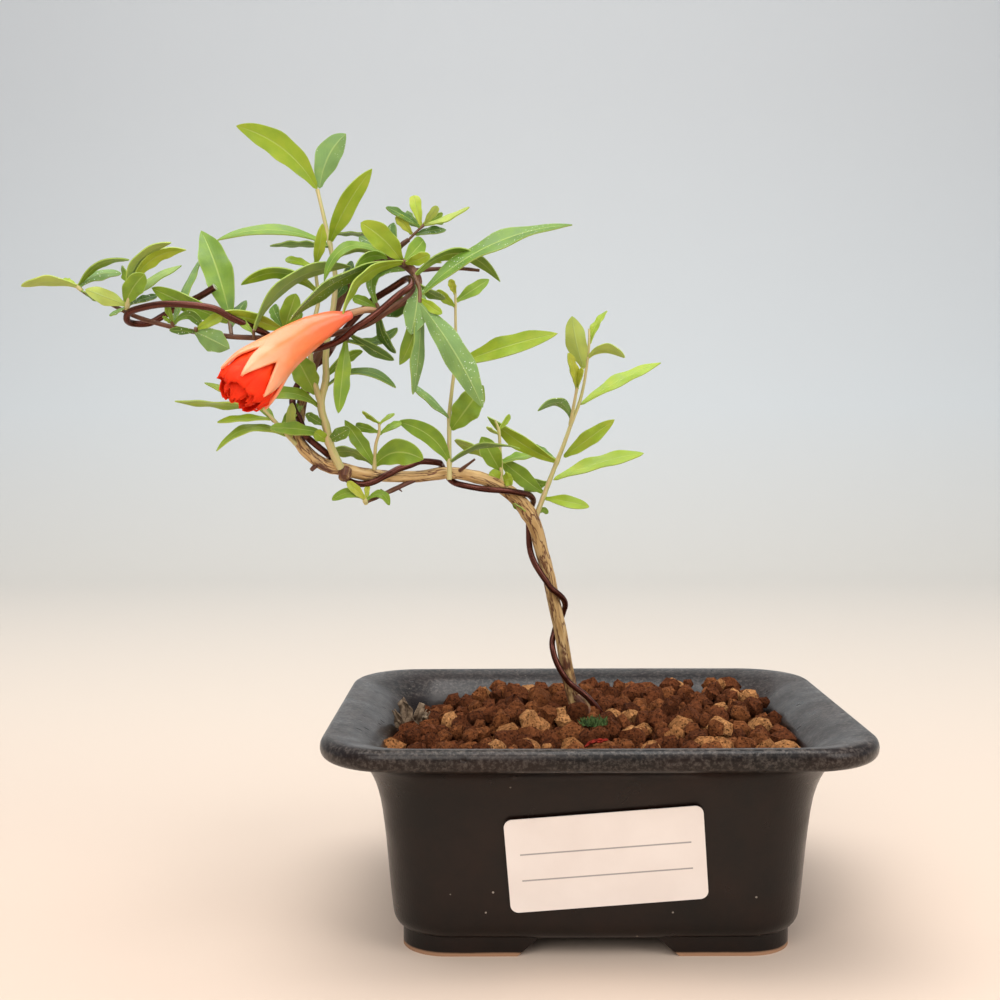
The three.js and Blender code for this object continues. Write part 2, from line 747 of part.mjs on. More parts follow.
// The trunk with its twigs, grown all round by extra when it serves as a cutter.
function wood(extra = 0) {
  const parts = [stick(trunkCurve, (t) => trunkRadius(t) + extra, TRUNK_SIDES, TRUNK_STEPS)];
  for (const { radii, path } of TWIGS) {
    const curve = curveThrough(path.map(([u, v, y]) => at(u, v, y)));
    const radiusAt = taper(radii);
    parts.push(stick(curve, (t) => radiusAt(t) + extra, STEM_SIDES, path.length));
  }
  return join(parts);
}

// The wire's centre line where it lies against the trunk.
function woundPoint(place, degrees, slack) {
  const t = place / (TRUNK.length - 1);
  const centre = trunkCurve.getPoint(t);
  const along = trunkCurve.getTangent(t);
  const front = EYE.clone().sub(centre);
  front.addScaledVector(along, -front.dot(along)).normalize();
  const side = along.clone().cross(front);
  const turn = THREE.MathUtils.degToRad(degrees);
  const reach = trunkRadius(t) + WIRE_RADIUS + 1.3 * GAP + slack;
  return centre
    .addScaledVector(front, reach * Math.cos(turn))
    .addScaledVector(side, reach * Math.sin(turn));
}

function wireCurve() {
  const points = WIRE_START.map(([u, v, y]) => at(u, v, y));
  for (let i = 0; i + 1 < WIRE_TURNS.length; i += 1) {
    const [from, to] = [WIRE_TURNS[i], WIRE_TURNS[i + 1]];
    const parts = Math.max(1, Math.round(Math.abs(to[1] - from[1]) / WIRE_TURN_STEP));
    for (let k = 0; k < parts; k += 1) {
      points.push(woundPoint(...from.map((value, n) => value + ((to[n] - value) * k) / parts)));
    }
  }
  points.push(woundPoint(...WIRE_TURNS.at(-1)));
  points.push(...WIRE_END.map(([u, v, y]) => at(u, v, y)));
  return curveThrough(points);
}

function wire(radius) {
  const section = new THREE.Shape(Array.from({ length: WIRE_SIDES }, (_, k) => new THREE.Vector2(
    radius * Math.cos((2 * Math.PI * k) / WIRE_SIDES),
    radius * Math.sin((2 * Math.PI * k) / WIRE_SIDES),
  )));
  return solid(new THREE.ExtrudeGeometry(section, { steps: WIRE_STEPS, extrudePath: wireCurve() }));
}

// ---------------------------------------------------------------- soil

// A field of granules, packed like a honeycomb: each cell is one facetted dome between valleys.
function granules(reachX, reachY, foot) {
  const random = stream(7);
  const between = ([low, high]) => low + (high - low) * random();
  const reach = GRAIN_PITCH / Math.sqrt(3);
  const corners = new Map();
  const cornerAt = (x, y) => {
    const key = `${Math.round((2 * x) / GRAIN_PITCH)} ${Math.round((2 * y) / reach)}`;
    if (!corners.has(key)) {
      const shift = [between(GRAIN_SHIFT), between(GRAIN_SHIFT)];
      corners.set(key, new THREE.Vector3(x + shift[0], y + shift[1], between(VALLEY)));
    }
    return corners.get(key);
  };
  const top = [];
  const rows = Math.ceil(reachY / (1.5 * reach));
  const columns = Math.ceil(reachX / GRAIN_PITCH);
  for (let row = -rows; row <= rows; row += 1) {
    for (let column = -columns; column <= columns; column += 1) {
      const centre = new THREE.Vector3((column + (row % 2 ? 0.5 : 0)) * GRAIN_PITCH, row * 1.5 * reach, 0);
      const rim = Array.from({ length: 6 }, (_, k) => cornerAt(
        centre.x + reach * Math.cos((Math.PI * (2 * k + 1)) / 6),
        centre.y + reach * Math.sin((Math.PI * (2 * k + 1)) / 6),
      ));
      const height = SOIL_TOP + between(GRAIN_HEIGHT);
      const crown = [0, 2, 4].map((k) => centre.clone()
        .lerp(rim[k + 1], between(CROWN_REACH))
        .setZ(height + between(GRAIN_SHIFT)));
      for (let k = 0; k < 3; k += 1) {
        const [low, middle, high] = [rim[2 * k], rim[2 * k + 1], rim[(2 * k + 2) % 6]];
        const next = crown[(k + 1) % 3];
        top.push([low, middle, crown[k]], [middle, high, crown[k]], [high, next, crown[k]]);
      }
      top.push(crown);
    }
  }
  return column(top, foot);
}

// The closed solid between a sheet of triangles and its flat shadow at height foot.
function column(sheet, foot) {
  const points = [];
  const drop = (p) => new THREE.Vector3(p.x, p.y, foot);
  const edges = new Map();
  const key = (a, b) => `${a.x} ${a.y} ${b.x} ${b.y}`;
  for (const [a, b, c] of sheet) {
    points.push(a, b, c, drop(c), drop(b), drop(a));
    for (const [from, to] of [[a, b], [b, c], [c, a]]) edges.set(key(from, to), [from, to]);
  }
  for (const [a, b] of edges.values()) {
    if (edges.has(key(b, a))) continue;
    points.push(a, drop(a), drop(b), a, drop(b), b);
  }
  return solid(new THREE.BufferGeometry().setFromPoints(points));
}

function soil(stems) {
  const floor = POT_INSIDE.at(-1)[1] + 3 * GAP + MESH_THICKNESS;
  const walls = POT_INSIDE.filter(([, z]) => z > floor + 1).reverse();
  const clearance = 2.5 * GAP; // sideways, so that slanted walls keep GAP
  const rings = [[SOIL_FOOT, floor], ...walls].map(([inset, z]) => potRing(inset + clearance, z));
  const field = granules(POT_LENGTH / 2 - SOIL_EDGE, POT_DEPTH / 2 - SOIL_EDGE, 0);
  return mainPiece(loft(rings).intersect(field).subtract(stems));
}

// ---------------------------------------------------------------- leaves

// [part of the length, part of the width] along a leaf from its stalk, for leaves up to a length.
const LEAF_OUTLINES = [
  { upTo: 8, outline: [[0, 0.25], [0.35, 0.85], [0.72, 0.85]] },
  { upTo: 17, outline: [[0, 0.14], [0.25, 0.74], [0.56, 1], [0.84, 0.64]] },
  { upTo: Infinity, outline: [[0, 0.1], [0.28, 0.76], [0.56, 1], [0.83, 0.66]] },
];

// A pointed blade, folded a little along its midrib and arched towards its upper face.
function leaf(base, tip, width, bow, roll) {
  const length = base.distanceTo(tip);
  const along = tip.clone().sub(base).normalize();
  const view = base.clone().lerp(tip, 0.5).sub(EYE).normalize();
  const side = along.clone().cross(view).normalize().applyAxisAngle(along, roll);
  const face = side.clone().cross(along).normalize();
  if (face.dot(view) > 0) face.negate();
  const left = new THREE.Vector3(-along.z, 0, along.x).normalize();
  const midrib = (s) => base.clone().lerp(tip, s)
    .addScaledVector(left, bow * 4 * s * (1 - s))
    .addScaledVector(face, BLADE_ARCH * length * 4 * s * (1 - s));
  const { outline } = LEAF_OUTLINES.find(({ upTo }) => length <= upTo);
  const thick = BLADE_THICKNESS / 2;
  const rings = outline.map(([s, part]) => {
    const half = Math.max((part * width) / 2, 0.35);
    const ahead = midrib(s + 0.02).sub(midrib(s - 0.02)).normalize();
    const across = side.clone().addScaledVector(ahead, -side.dot(ahead)).normalize();
    const up = across.clone().cross(ahead).normalize();
    if (up.dot(face) < 0) up.negate();
    const centre = midrib(s);
    const put = (x, z) => centre.clone().addScaledVector(across, x).addScaledVector(up, z);
    const edge = BLADE_FOLD * half;
    return [put(-half, edge), put(0, -thick), put(half, edge), put(0, thick)];
  });
  return loftLeaf([...rings, [midrib(1)]]);
}

// A leaf's sections are chevrons, so its stalk end is closed across the midrib.
function loftLeaf(rings) {
  rings[0].push(rings[0].shift());
  for (const ring of rings.slice(1, -1)) ring.push(ring.shift());
  return loft(rings);
}

// The depth of the stems where they pass nearest to (u, v).
function stemDepth(stems, u, v) {
  let best = { distance: Infinity, y: 0 };
  for (const { path } of stems) {
    for (let i = 0; i + 1 < path.length; i += 1) {
      const [from, to] = [new THREE.Vector3(...path[i]), new THREE.Vector3(...path[i + 1])];
      const line = new THREE.Line3(from.clone().setZ(0), to.clone().setZ(0));
      const t = line.closestPointToPointParameter(new THREE.Vector3(u, v, 0), true);
      const distance = line.at(t, new THREE.Vector3()).distanceTo(new THREE.Vector3(u, v, 0));
      if (distance < best.distance) best = { distance, y: THREE.MathUtils.lerp(from.z, to.z, t) };
    }
  }
  return best.y;
}

function shoot({ stems, leaves }, seed) {
  const random = stream(seed);
  const parts = stems.map(({ radii, path }) => stick(
    curveThrough(path.map(([u, v, y]) => at(u, v, y))),
    taper(radii),
    STEM_SIDES,
    path.length,
  ));
  for (const [u, v, tipU, tipV, width, dy, bow] of leaves) {
    const y = stemDepth(stems, u, v);
    const roll = THREE.MathUtils.degToRad(BLADE_ROLL * (random() - 0.5));
    parts.push(leaf(at(u, v, y), at(tipU, tipV, y + dy), width, bow, roll));
  }
  return join(parts);
}

// ---------------------------------------------------------------- flower

const FLOWER_LINE = [[-60.5, 174.2, -50], [-64.5, 176, -51.8], [-70.5, 174.5, -53.5]]; // its stalk
const FLOWER_AXIS = new THREE.QuadraticBezierCurve3(
  at(-69, 174, -53.5),
  at(-89.5, 167.5, -58),
  at(-103, 149, -66),
);
const FLOWER_LENGTH = 41;
const CALYX_PROFILE = [[0, 1.2], [3, 1.6], [7, 2.4], [12.5, 3.6], [19, 4.9], [25, 5.8]]; // [along, radius]
const CALYX_WALL = 1.1;
const CALYX_FLOOR = 12; // how far along its hollow starts
const LOBES = 6;
const LOBE_ROWS = [[23, 4.9, 0.46], [27.5, 6.1, 0.46], [31.5, 7, 0.3], [35.5, 7.7, 0.06]];
const PETAL_THICKNESS = 0.8;
const PETAL_CRUMPLE = 0.7;
const PETAL_CORE = [[14.5, 0], [15.5, 2.1], [19, 2.4], [25, 2.9], [31, 3.4], [34, 0]];
const PETAL_RINGS = [
  { count: 6, rows: [[16.5, 1.4], [24, 3.2], [31, 5.3], [36, 6.2], [39.5, 4.6]], half: 0.6 },
  { count: 4, rows: [[27, 1.5], [34, 3.6], [38.5, 3.2], [41, 1.6]], half: 0.8 },
];

// Bends something made along +Z to the flower's drooping axis.
function onFlower(geometry) {
  const position = geometry.attributes.position;
  for (let i = 0; i < position.count; i += 1) {
    const t = position.getZ(i) / FLOWER_LENGTH;
    const ahead = FLOWER_AXIS.getTangent(Math.min(t, 1));
    const side = ahead.clone().cross(new THREE.Vector3(0, 1, 0)).normalize();
    const place = FLOWER_AXIS.getPoint(t)
      .addScaledVector(side, position.getX(i))
      .addScaledVector(side.clone().cross(ahead), -position.getY(i));
    position.setXYZ(i, ...place);
  }
  return geometry;
}

// A curved plate round the flower's axis, from rows of [along, radius, half its angle].
function spoon(rows, turn, thickness) {
  return loft(rows.map(([z, radius, half]) => {
    const put = (r, a) => new THREE.Vector3(r * Math.cos(turn + a), r * Math.sin(turn + a), z);
    const [inner, outer] = [put(radius + 0.3 * thickness, 0), put(radius + 1.3 * thickness, 0)];
    return [put(radius, -half), outer, put(radius, half), inner];
  }));
}

// A fleshy tube, hollow at its mouth, with pointed lobes.
function calyx() {
  const profile = [
    [0, CALYX_PROFILE[0][0]],
    ...CALYX_PROFILE.map(([z, r]) => [r, z]),
    ...CALYX_PROFILE.slice(3).reverse().map(([z, r]) => [r - CALYX_WALL, z]),
    [0, CALYX_FLOOR],
  ].map(([r, z]) => new THREE.Vector2(r, z));
  const parts = [solid(onFlower(new THREE.LatheGeometry(profile, 12).rotateX(Math.PI / 2)))];
  for (let i = 0; i < LOBES; i += 1) {
    const turn = (2 * Math.PI * (i + 0.35)) / LOBES;
    parts.push(solid(onFlower(geometryOf(spoon(LOBE_ROWS, turn, PETAL_THICKNESS)))));
  }
  const stalk = curveThrough(FLOWER_LINE.map(([u, v, y]) => at(u, v, y)));
  parts.push(stick(stalk, taper([0.9, 1.2]), 6, 4));
  return join(parts);
}

// Crumpled petals in two rings round a small core.
function petals() {
  const random = stream(21);
  const core = PETAL_CORE.map(([z, r]) => new THREE.Vector2(r, z));
  const parts = [solid(onFlower(new THREE.LatheGeometry(core, 8).rotateX(Math.PI / 2)))];
  for (const { count, rows, half } of PETAL_RINGS) {
    for (let i = 0; i < count; i += 1) {
      const turn = (2 * Math.PI * (i + 0.5 * random())) / count;
      const shape = rows.map(([z, r], n) => [
        z + PETAL_CRUMPLE * (random() - 0.5),
        r + (n > 1 ? PETAL_CRUMPLE * (random() - 0.5) : 0),
        half * (n === rows.length - 1 ? 0.55 : Math.min(1, 0.5 + 0.25 * n)),
      ]);
      parts.push(solid(onFlower(geometryOf(spoon(shape, turn, PETAL_THICKNESS)))));
    }
  }
  return mainPiece(join(parts));
}

// ---------------------------------------------------------------- label

const LABEL_SIZE = { width: 52.5, height: 26, corner: 2.2, thickness: 0.4 };
const LABEL_PLACE = new THREE.Vector3(1.7, -47.1, 28.3);
const LABEL_LEAN = THREE.MathUtils.degToRad(7); // the pot wall's flare
const LABEL_TURN = THREE.MathUtils.degToRad(4.5);

// A paper sticker on the pot's front wall, turned a little from level.
function label() {
  const { width, height, corner, thickness } = LABEL_SIZE;
  const [x, y] = [width / 2, height / 2];
  const outline = new THREE.Shape();
  outline.moveTo(-x + corner, -y);
  outline.absarc(x - corner, -y + corner, corner, -Math.PI / 2, 0);
  outline.absarc(x - corner, y - corner, corner, 0, Math.PI / 2);
  outline.absarc(-x + corner, y - corner, corner, Math.PI / 2, Math.PI);
  outline.absarc(-x + corner, -y + corner, corner, Math.PI, 1.5 * Math.PI);
  const options = { depth: thickness, bevelEnabled: false, curveSegments: 3 };
  const shape = new THREE.ExtrudeGeometry(outline, options);
  shape.rotateZ(LABEL_TURN);
  shape.rotateX(Math.PI / 2 + LABEL_LEAN);
  return solid(shape.translate(LABEL_PLACE.x, LABEL_PLACE.y, LABEL_PLACE.z));
}

// ---------------------------------------------------------------- the object

function piece(name, look, body) {
  const mesh = new THREE.Mesh(geometryOf(body), new THREE.MeshStandardMaterial(COLOURS[look]));
  mesh.name = name;
  return mesh;
}

const bonsai = new THREE.Group();
bonsai.position.copy(POT_CENTRE);

const woodCutter = wood(GAP);
const wireCutter = wire(WIRE_RADIUS + GAP);
const calyxBody = mainPiece(calyx().subtract(woodCutter).subtract(wireCutter));

bonsai.add(
  piece('pot', 'glaze', pot()),
  piece('drain_mesh_left', 'mesh', drainMesh(-DRAIN_X)),
  piece('drain_mesh_right', 'mesh', drainMesh(DRAIN_X)),
  piece('soil', 'soil', soil(woodCutter.add(wireCutter))),
  piece('trunk', 'bark', wood()),
  piece('training_wire', 'wire', wire(WIRE_RADIUS)),
  piece('label', 'paper', label()),
  piece('flower_calyx', 'calyx', calyxBody),
  piece('flower_petals', 'petal', petals()),
);
SHOOTS.forEach((plan, i) => {
  const body = mainPiece(shoot(plan, 100 + i).subtract(woodCutter).subtract(wireCutter));
  bonsai.add(piece(plan.name, plan.tone, body));
});

export default bonsai;
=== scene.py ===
"""A small wired pomegranate bonsai in flower, in granular soil in a glazed rectangular pot."""
import math
import random
from functools import partial

import bpy
import numpy as np
from mathutils import Matrix, Vector, noise


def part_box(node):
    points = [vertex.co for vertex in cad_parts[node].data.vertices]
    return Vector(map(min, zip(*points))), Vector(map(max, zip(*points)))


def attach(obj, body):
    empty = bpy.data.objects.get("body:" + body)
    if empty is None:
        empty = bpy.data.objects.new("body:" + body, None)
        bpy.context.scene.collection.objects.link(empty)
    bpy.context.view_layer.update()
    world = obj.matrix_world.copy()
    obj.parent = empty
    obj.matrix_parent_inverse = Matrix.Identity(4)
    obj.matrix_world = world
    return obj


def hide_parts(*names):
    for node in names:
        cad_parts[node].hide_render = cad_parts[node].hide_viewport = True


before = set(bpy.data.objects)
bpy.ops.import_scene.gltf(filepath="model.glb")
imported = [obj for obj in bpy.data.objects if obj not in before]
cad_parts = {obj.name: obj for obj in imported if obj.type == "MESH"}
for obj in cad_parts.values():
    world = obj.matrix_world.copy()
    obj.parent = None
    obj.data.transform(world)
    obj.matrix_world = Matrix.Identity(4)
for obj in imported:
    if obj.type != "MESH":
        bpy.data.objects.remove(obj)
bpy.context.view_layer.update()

MM = 0.001
pot_low, pot_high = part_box("pot")
pot_middle = Vector(((pot_low.x + pot_high.x) / 2, (pot_low.y + pot_high.y) / 2, 0))

# ---------------------------------------------------------------- camera
# It stands level with the middle of the plant, half a metre in front of the pot, and looks a
# little down.
eye = pot_middle + Vector((-25.3, -413, 141.1)) * MM
LENS = 50.67  # on a sensor 36 mm wide
YAW, PITCH, ROLL = -0.0021, -0.0489, -0.0029  # radians

camera = bpy.data.objects.new("camera", bpy.data.cameras.new("camera"))
bpy.context.scene.collection.objects.link(camera)
camera.data.lens = LENS
camera.data.sensor_width = 36
camera.data.clip_start = 0.01
aim = Matrix.Rotation(-YAW, 4, "Z") @ Matrix.Rotation(math.pi / 2 + PITCH, 4, "X")
camera.matrix_world = Matrix.Translation(eye) @ aim @ Matrix.Rotation(ROLL, 4, "Z")
bpy.context.scene.camera = camera

# ---------------------------------------------------------------- studio
# A pale sheet lies under the pot and curves up behind it. Large soft lights stand in front of
# it, above and beside the plant.


def add_object(name, mesh):
    made = bpy.data.objects.new(name, mesh)
    bpy.context.scene.collection.objects.link(made)
    return made


def pick_only(*objects):
    """Leaves just these selected, the last of them active."""
    bpy.ops.object.select_all(action="DESELECT")
    for one in objects:
        one.select_set(True)
        bpy.context.view_layer.objects.active = one


def set_input(socket, value):
    """Gives a node's input a number, a colour or another node's output."""
    if isinstance(value, bpy.types.NodeSocket):
        socket.id_data.links.new(value, socket)
    else:
        socket.default_value = (*value, 1) if socket.type == "RGBA" else value


def feed(node, **inputs):
    """Sets a node's inputs by their names, with _ for a space, and returns the node."""
    for name, value in inputs.items():
        set_input(node.inputs[name.replace("_", " ")], value)
    return node


def new_material(name, **inputs):
    """A Principled material with these inputs set; returns it, its node tree and its shader."""
    material = bpy.data.materials.new(name)
    material.use_nodes = True
    tree = material.node_tree
    return material, tree, feed(tree.nodes["Principled BSDF"], **inputs)


def add_node(tree, kind, settings=None, **inputs):
    made = tree.nodes.new("ShaderNode" + kind)
    for setting, value in (settings or {}).items():
        setattr(made, setting, value)
    return feed(made, **inputs)


def place_on(tree):
    """Where a point of the piece is, in metres."""
    return add_node(tree, "TexCoord").outputs["Object"]


def split(vector):
    """A vector's X, Y and Z outputs."""
    return add_node(vector.id_data, "SeparateXYZ", Vector=vector).outputs


def ramp(source, stops):
    """A colour ramp on a socket; stops are (place, colour) or (place, grey) pairs."""
    made = add_node(source.id_data, "ValToRGB", Fac=source)
    while len(made.color_ramp.elements) < len(stops):
        made.color_ramp.elements.new(0.5)
    for element, (place, colour) in zip(made.color_ramp.elements, stops):
        element.position = place
        element.color = (*colour, 1) if isinstance(colour, tuple) else (colour,) * 3 + (1,)
    return made.outputs["Color"]


def extrude_up(height):
    bpy.ops.mesh.extrude_region_move(TRANSFORM_OT_translate={"value": (0, 0, height)})


SHEET_COLOURS = [  # from the near floor, back and then up
    (0.0, (0.66, 0.525, 0.425)), (0.08, (0.68, 0.585, 0.495)), (0.25, (0.71, 0.68, 0.625)),
    (0.5, (0.70, 0.73, 0.74)), (1.0, (0.67, 0.70, 0.725)),
]
SHEET_WIDTH, SHEET_FRONT, SHEET_BACK, SHEET_TOP, SHEET_BEND = 7.0, -2.2, 1.5, 2.4, 0.6  # metres
bend_start = SHEET_BACK - SHEET_BEND

pick_only()
bpy.ops.mesh.primitive_plane_add(size=1)
sheet = bpy.context.object
sheet.name = "backdrop"
bpy.ops.object.mode_set(mode="EDIT")
bpy.ops.transform.resize(value=(SHEET_WIDTH, bend_start - SHEET_FRONT, 1))
bpy.ops.transform.translate(value=(0, (bend_start + SHEET_FRONT) / 2, 0))
bpy.ops.mesh.select_all(action="DESELECT")
bpy.ops.object.mode_set(mode="OBJECT")
for edge in sheet.data.edges:
    ends = [sheet.data.vertices[i].co.y for i in edge.vertices]
    edge.select = min(ends) > 0
bpy.ops.object.mode_set(mode="EDIT")
bpy.ops.mesh.select_mode(type="EDGE")
bpy.ops.mesh.spin(
    steps=24, angle=-math.pi / 2, center=(0, bend_start, SHEET_BEND), axis=(1, 0, 0)
)
extrude_up(SHEET_TOP - SHEET_BEND)
bpy.ops.object.mode_set(mode="OBJECT")
bpy.ops.object.shade_smooth()
material, tree, shader = new_material("backdrop", Roughness=0.9)
place = place_on(tree)
back_and_up = add_node(tree, "VectorMath", {"operation": "DOT_PRODUCT"}, Vector=place)
set_input(back_and_up.inputs[1], (0, 0.25, 1))
feed(shader, Base_Color=ramp(back_and_up.outputs["Value"], SHEET_COLOURS))
sheet.data.materials.append(material)

world = bpy.data.worlds.new("room")
world.use_nodes = True
tree = world.node_tree
way = split(add_node(tree, "TexCoord").outputs["Generated"])
back = add_node(tree, "MapRange", Value=way["Y"], From_Min=-1.0)
daylight = ramp(back.outputs["Result"], [  # the room is darker behind the camera
    (0.0, (0.22, 0.22, 0.23)), (0.35, (0.55, 0.58, 0.63)), (0.6, (0.84, 0.90, 1.0)),
])
feed(tree.nodes["Background"], Color=daylight, Strength=0.6)
bpy.context.scene.world = world
bpy.context.scene.view_settings.view_transform = "Standard"

PLANT = (0.0, 0.0, 0.1)
LIGHTS = [  # name, place, what it faces, width, watts, colour
    ("overhead", (-0.1, -0.1, 1.15), PLANT, 1.0, 10.5, (1.0, 0.98, 0.95)),
    ("front", (-0.35, -1.1, 0.75), PLANT, 0.8, 8.5, (1.0, 0.97, 0.93)),
    ("side", (0.9, -0.7, 0.7), PLANT, 0.8, 8, (1.0, 0.97, 0.94)),
    ("backdrop", (0.0, 0.3, 1.7), (0.0, 1.6, 0.5), 1.6, 9.5, (0.97, 0.99, 1.0)),
]
for name, spot, target, width, watts, colour in LIGHTS:
    light = bpy.data.objects.new(name, bpy.data.lights.new(name, "AREA"))
    bpy.context.scene.collection.objects.link(light)
    light.data.size = width
    light.data.energy = watts
    light.data.color = colour
    light.location = spot
    light.rotation_euler = (Vector(target) - Vector(spot)).to_track_quat("-Z", "Y").to_euler()

# ---------------------------------------------------------------- pot
# Press-moulded stoneware with a wide flared lip, dipped in a dark iron glaze that is wiped off
# the bottoms of its feet. Two drain holes are cut in the floor before firing.
RIM_LENGTH, RIM_DEPTH, SIDE_BOW = 148.4 * MM, 124 * MM, 1.2 * MM
BASE_CORNER, CORNER_STEPS = 12.5 * MM, 28  # the corners' radius at the base; it grows with the flare
FOOT_HEIGHT, FOOT_INSET, FOOT_WIDTH = 5 * MM, 21 * MM, 9 * MM
INTO_FLOOR, HOLLOW_RISE = 0.6 * MM, 3 * MM  # how much taller the feet and their hollow are drawn
CUTTER_LENGTH, PAST_GROUND = 200 * MM, 1 * MM  # of the tools that shape the feet
HOLE_WAY, HOLE_RADIUS = 26 * MM, 6 * MM  # of the drain holes, from the pot's middle
DRILL_MIDDLE, DRILL_LENGTH = 8 * MM, 12 * MM
OUTSIDE = [  # inset from the rim's outline and height, in millimetres, base to rim
    (25, 5), (22, 5.1), (20, 6.1), (18.7, 8.2), (18.2, 11.2), (17.3, 21), (16.4, 31.5),
    (15, 41.9), (13.3, 47.6), (11.2, 51.2), (8, 53.3), (4.2, 54.3), (1.6, 54.9), (0.4, 56),
    (0, 57.9), (0.5, 59.7), (1.8, 60.6),
]
INSIDE = [
    (3.6, 60.5), (8, 59.5), (11.5, 57.7), (14.2, 55.6), (17, 52.5), (18.8, 48.7), (20.4, 41.9),
    (23.2, 13.8), (24.2, 11.3), (26.6, 10.1),
]


def smooth_path(points, steps):
    """Centripetal Catmull-Rom curve through points: positions at steps + 1 even parameters."""
    p = [np.array(q, float) for q in points]
    p = [2 * p[0] - p[1]] + p + [2 * p[-1] - p[-2]]
    found = []
    for t in np.linspace(0, len(points) - 1, steps + 1):
        i = min(int(t), len(points) - 2)
        a, b, c, d = p[i:i + 4]
        gaps = [max(np.linalg.norm(y - x), 1e-12) ** 0.5 for x, y in ((a, b), (b, c), (c, d))]
        m1 = (b - a) / gaps[0] - (c - a) / (gaps[0] + gaps[1]) + (c - b) / gaps[1]
        m2 = (c - b) / gaps[1] - (d - b) / (gaps[1] + gaps[2]) + (d - c) / gaps[2]
        m1, m2, w = m1 * gaps[1], m2 * gaps[1], t - i
        found.append(
            b + w * m1 + w * w * (3 * (c - b) - 2 * m1 - m2) + w ** 3 * (2 * (b - c) + m1 + m2)
        )
    return np.array(found)


def finish_shape(piece, angle=40):
    """Merges doubles, turns the faces outwards and smooths all but the sharp edges."""
    pick_only(piece)
    bpy.ops.object.mode_set(mode="EDIT")
    bpy.ops.mesh.select_all(action="SELECT")
    bpy.ops.mesh.remove_doubles(threshold=1e-6)
    bpy.ops.mesh.normals_make_consistent(inside=False)
    bpy.ops.object.mode_set(mode="OBJECT")
    bpy.ops.object.shade_smooth_by_angle(angle=math.radians(angle))


def apply_at_origin(piece):
    pick_only(piece)
    bpy.ops.object.transform_apply(location=True, rotation=True, scale=True)


def cut(piece, tool, operation="DIFFERENCE"):
    """Cuts piece with tool, or joins it, and removes the tool."""
    modifier = piece.modifiers.new("cut", "BOOLEAN")
    modifier.operation = operation
    modifier.object = tool
    modifier.solver = "EXACT"
    pick_only(piece)
    bpy.ops.object.modifier_apply(modifier="cut")
    bpy.data.objects.remove(tool)


def rounded_plate(name, length, depth, corner, z):
    """A flat face with round corners and divided sides, left in edit mode with the face picked."""
    pick_only()
    bpy.ops.mesh.primitive_plane_add(size=1, location=(pot_middle.x, pot_middle.y, z))
    plate = bpy.context.object
    plate.name = plate.data.name = name
    apply_at_origin(plate)
    bpy.ops.object.mode_set(mode="EDIT")
    bpy.ops.mesh.select_all(action="SELECT")
    bpy.ops.transform.resize(value=(length, depth, 1), center_override=(*pot_middle.xy, z))
    bpy.ops.mesh.bevel(offset=corner, segments=CORNER_STEPS, affect="VERTICES")
    bpy.ops.object.mode_set(mode="OBJECT")
    for edge in plate.data.edges:
        a, b = (plate.data.vertices[i].co for i in edge.vertices)
        edge.select = (a - b).length > 2 * corner
    bpy.ops.object.mode_set(mode="EDIT")
    bpy.ops.mesh.select_mode(type="EDGE")
    bpy.ops.mesh.subdivide(number_cuts=11)
    bpy.ops.mesh.select_mode(type="FACE")
    bpy.ops.mesh.select_all(action="SELECT")
    return plate


def drawn_wall(name, levels, corner):
    """A plate drawn up through levels, each an inset from the rim's outline and a height."""
    inset, z = levels[0]
    wall = rounded_plate(name, RIM_LENGTH - 2 * inset, RIM_DEPTH - 2 * inset, corner, z)
    for (inset, z), (next_inset, next_z) in zip(levels, levels[1:]):
        grow = [(full - 2 * next_inset) / (full - 2 * inset) for full in (RIM_LENGTH, RIM_DEPTH)]
        extrude_up(next_z - z)
        bpy.ops.transform.resize(value=(*grow, 1), center_override=(*pot_middle.xy, next_z))
    bpy.ops.object.mode_set(mode="OBJECT")
    return wall


def rounded_block(name, length, depth, corner, z, height, angle=40):
    slab = rounded_plate(name, length, depth, corner, z)
    extrude_up(height)
    bpy.ops.object.mode_set(mode="OBJECT")
    finish_shape(slab, angle)
    return slab


outside = smooth_path(np.array(OUTSIDE) * MM, 44)
inside = smooth_path(np.array(INSIDE) * MM, 26)
pot = drawn_wall("glazed_pot", [*outside, *inside], BASE_CORNER)
for vertex in pot.data.vertices:  # the long sides swell a little
    along = (vertex.co.x - pot_middle.x) / (RIM_LENGTH / 2)
    across = (vertex.co.y - pot_middle.y) / (RIM_DEPTH / 2)
    vertex.co.y += SIDE_BOW * across * (1 - along * along)
finish_shape(pot)

feet = rounded_block(
    "feet", RIM_LENGTH - 2 * FOOT_INSET, RIM_DEPTH - 2 * FOOT_INSET, BASE_CORNER, 0,
    FOOT_HEIGHT + INTO_FLOOR,
)
within = FOOT_INSET + FOOT_WIDTH
hollow = rounded_block(
    "hollow", RIM_LENGTH - 2 * within, RIM_DEPTH - 2 * within, BASE_CORNER / 2, -PAST_GROUND,
    FOOT_HEIGHT + HOLLOW_RISE,
)
cut(feet, hollow)
NOTCHES = [(46 * MM, 32 * MM, 0), (34 * MM, 22 * MM, 1)]  # length below and above, axis
for low, high, axis in NOTCHES:
    pick_only()
    bpy.ops.mesh.primitive_cube_add(size=1, location=(*pot_middle.xy, FOOT_HEIGHT / 2))
    notch = bpy.context.object
    notch.scale = (*((low, CUTTER_LENGTH) if axis == 0 else (CUTTER_LENGTH, low)), FOOT_HEIGHT)
    apply_at_origin(notch)
    for vertex in notch.data.vertices:
        if vertex.co.z > FOOT_HEIGHT / 2:
            vertex.co[axis] = pot_middle[axis] + (vertex.co[axis] - pot_middle[axis]) * high / low
        else:
            vertex.co.z -= PAST_GROUND
    cut(feet, notch)
cut(pot, feet, "UNION")
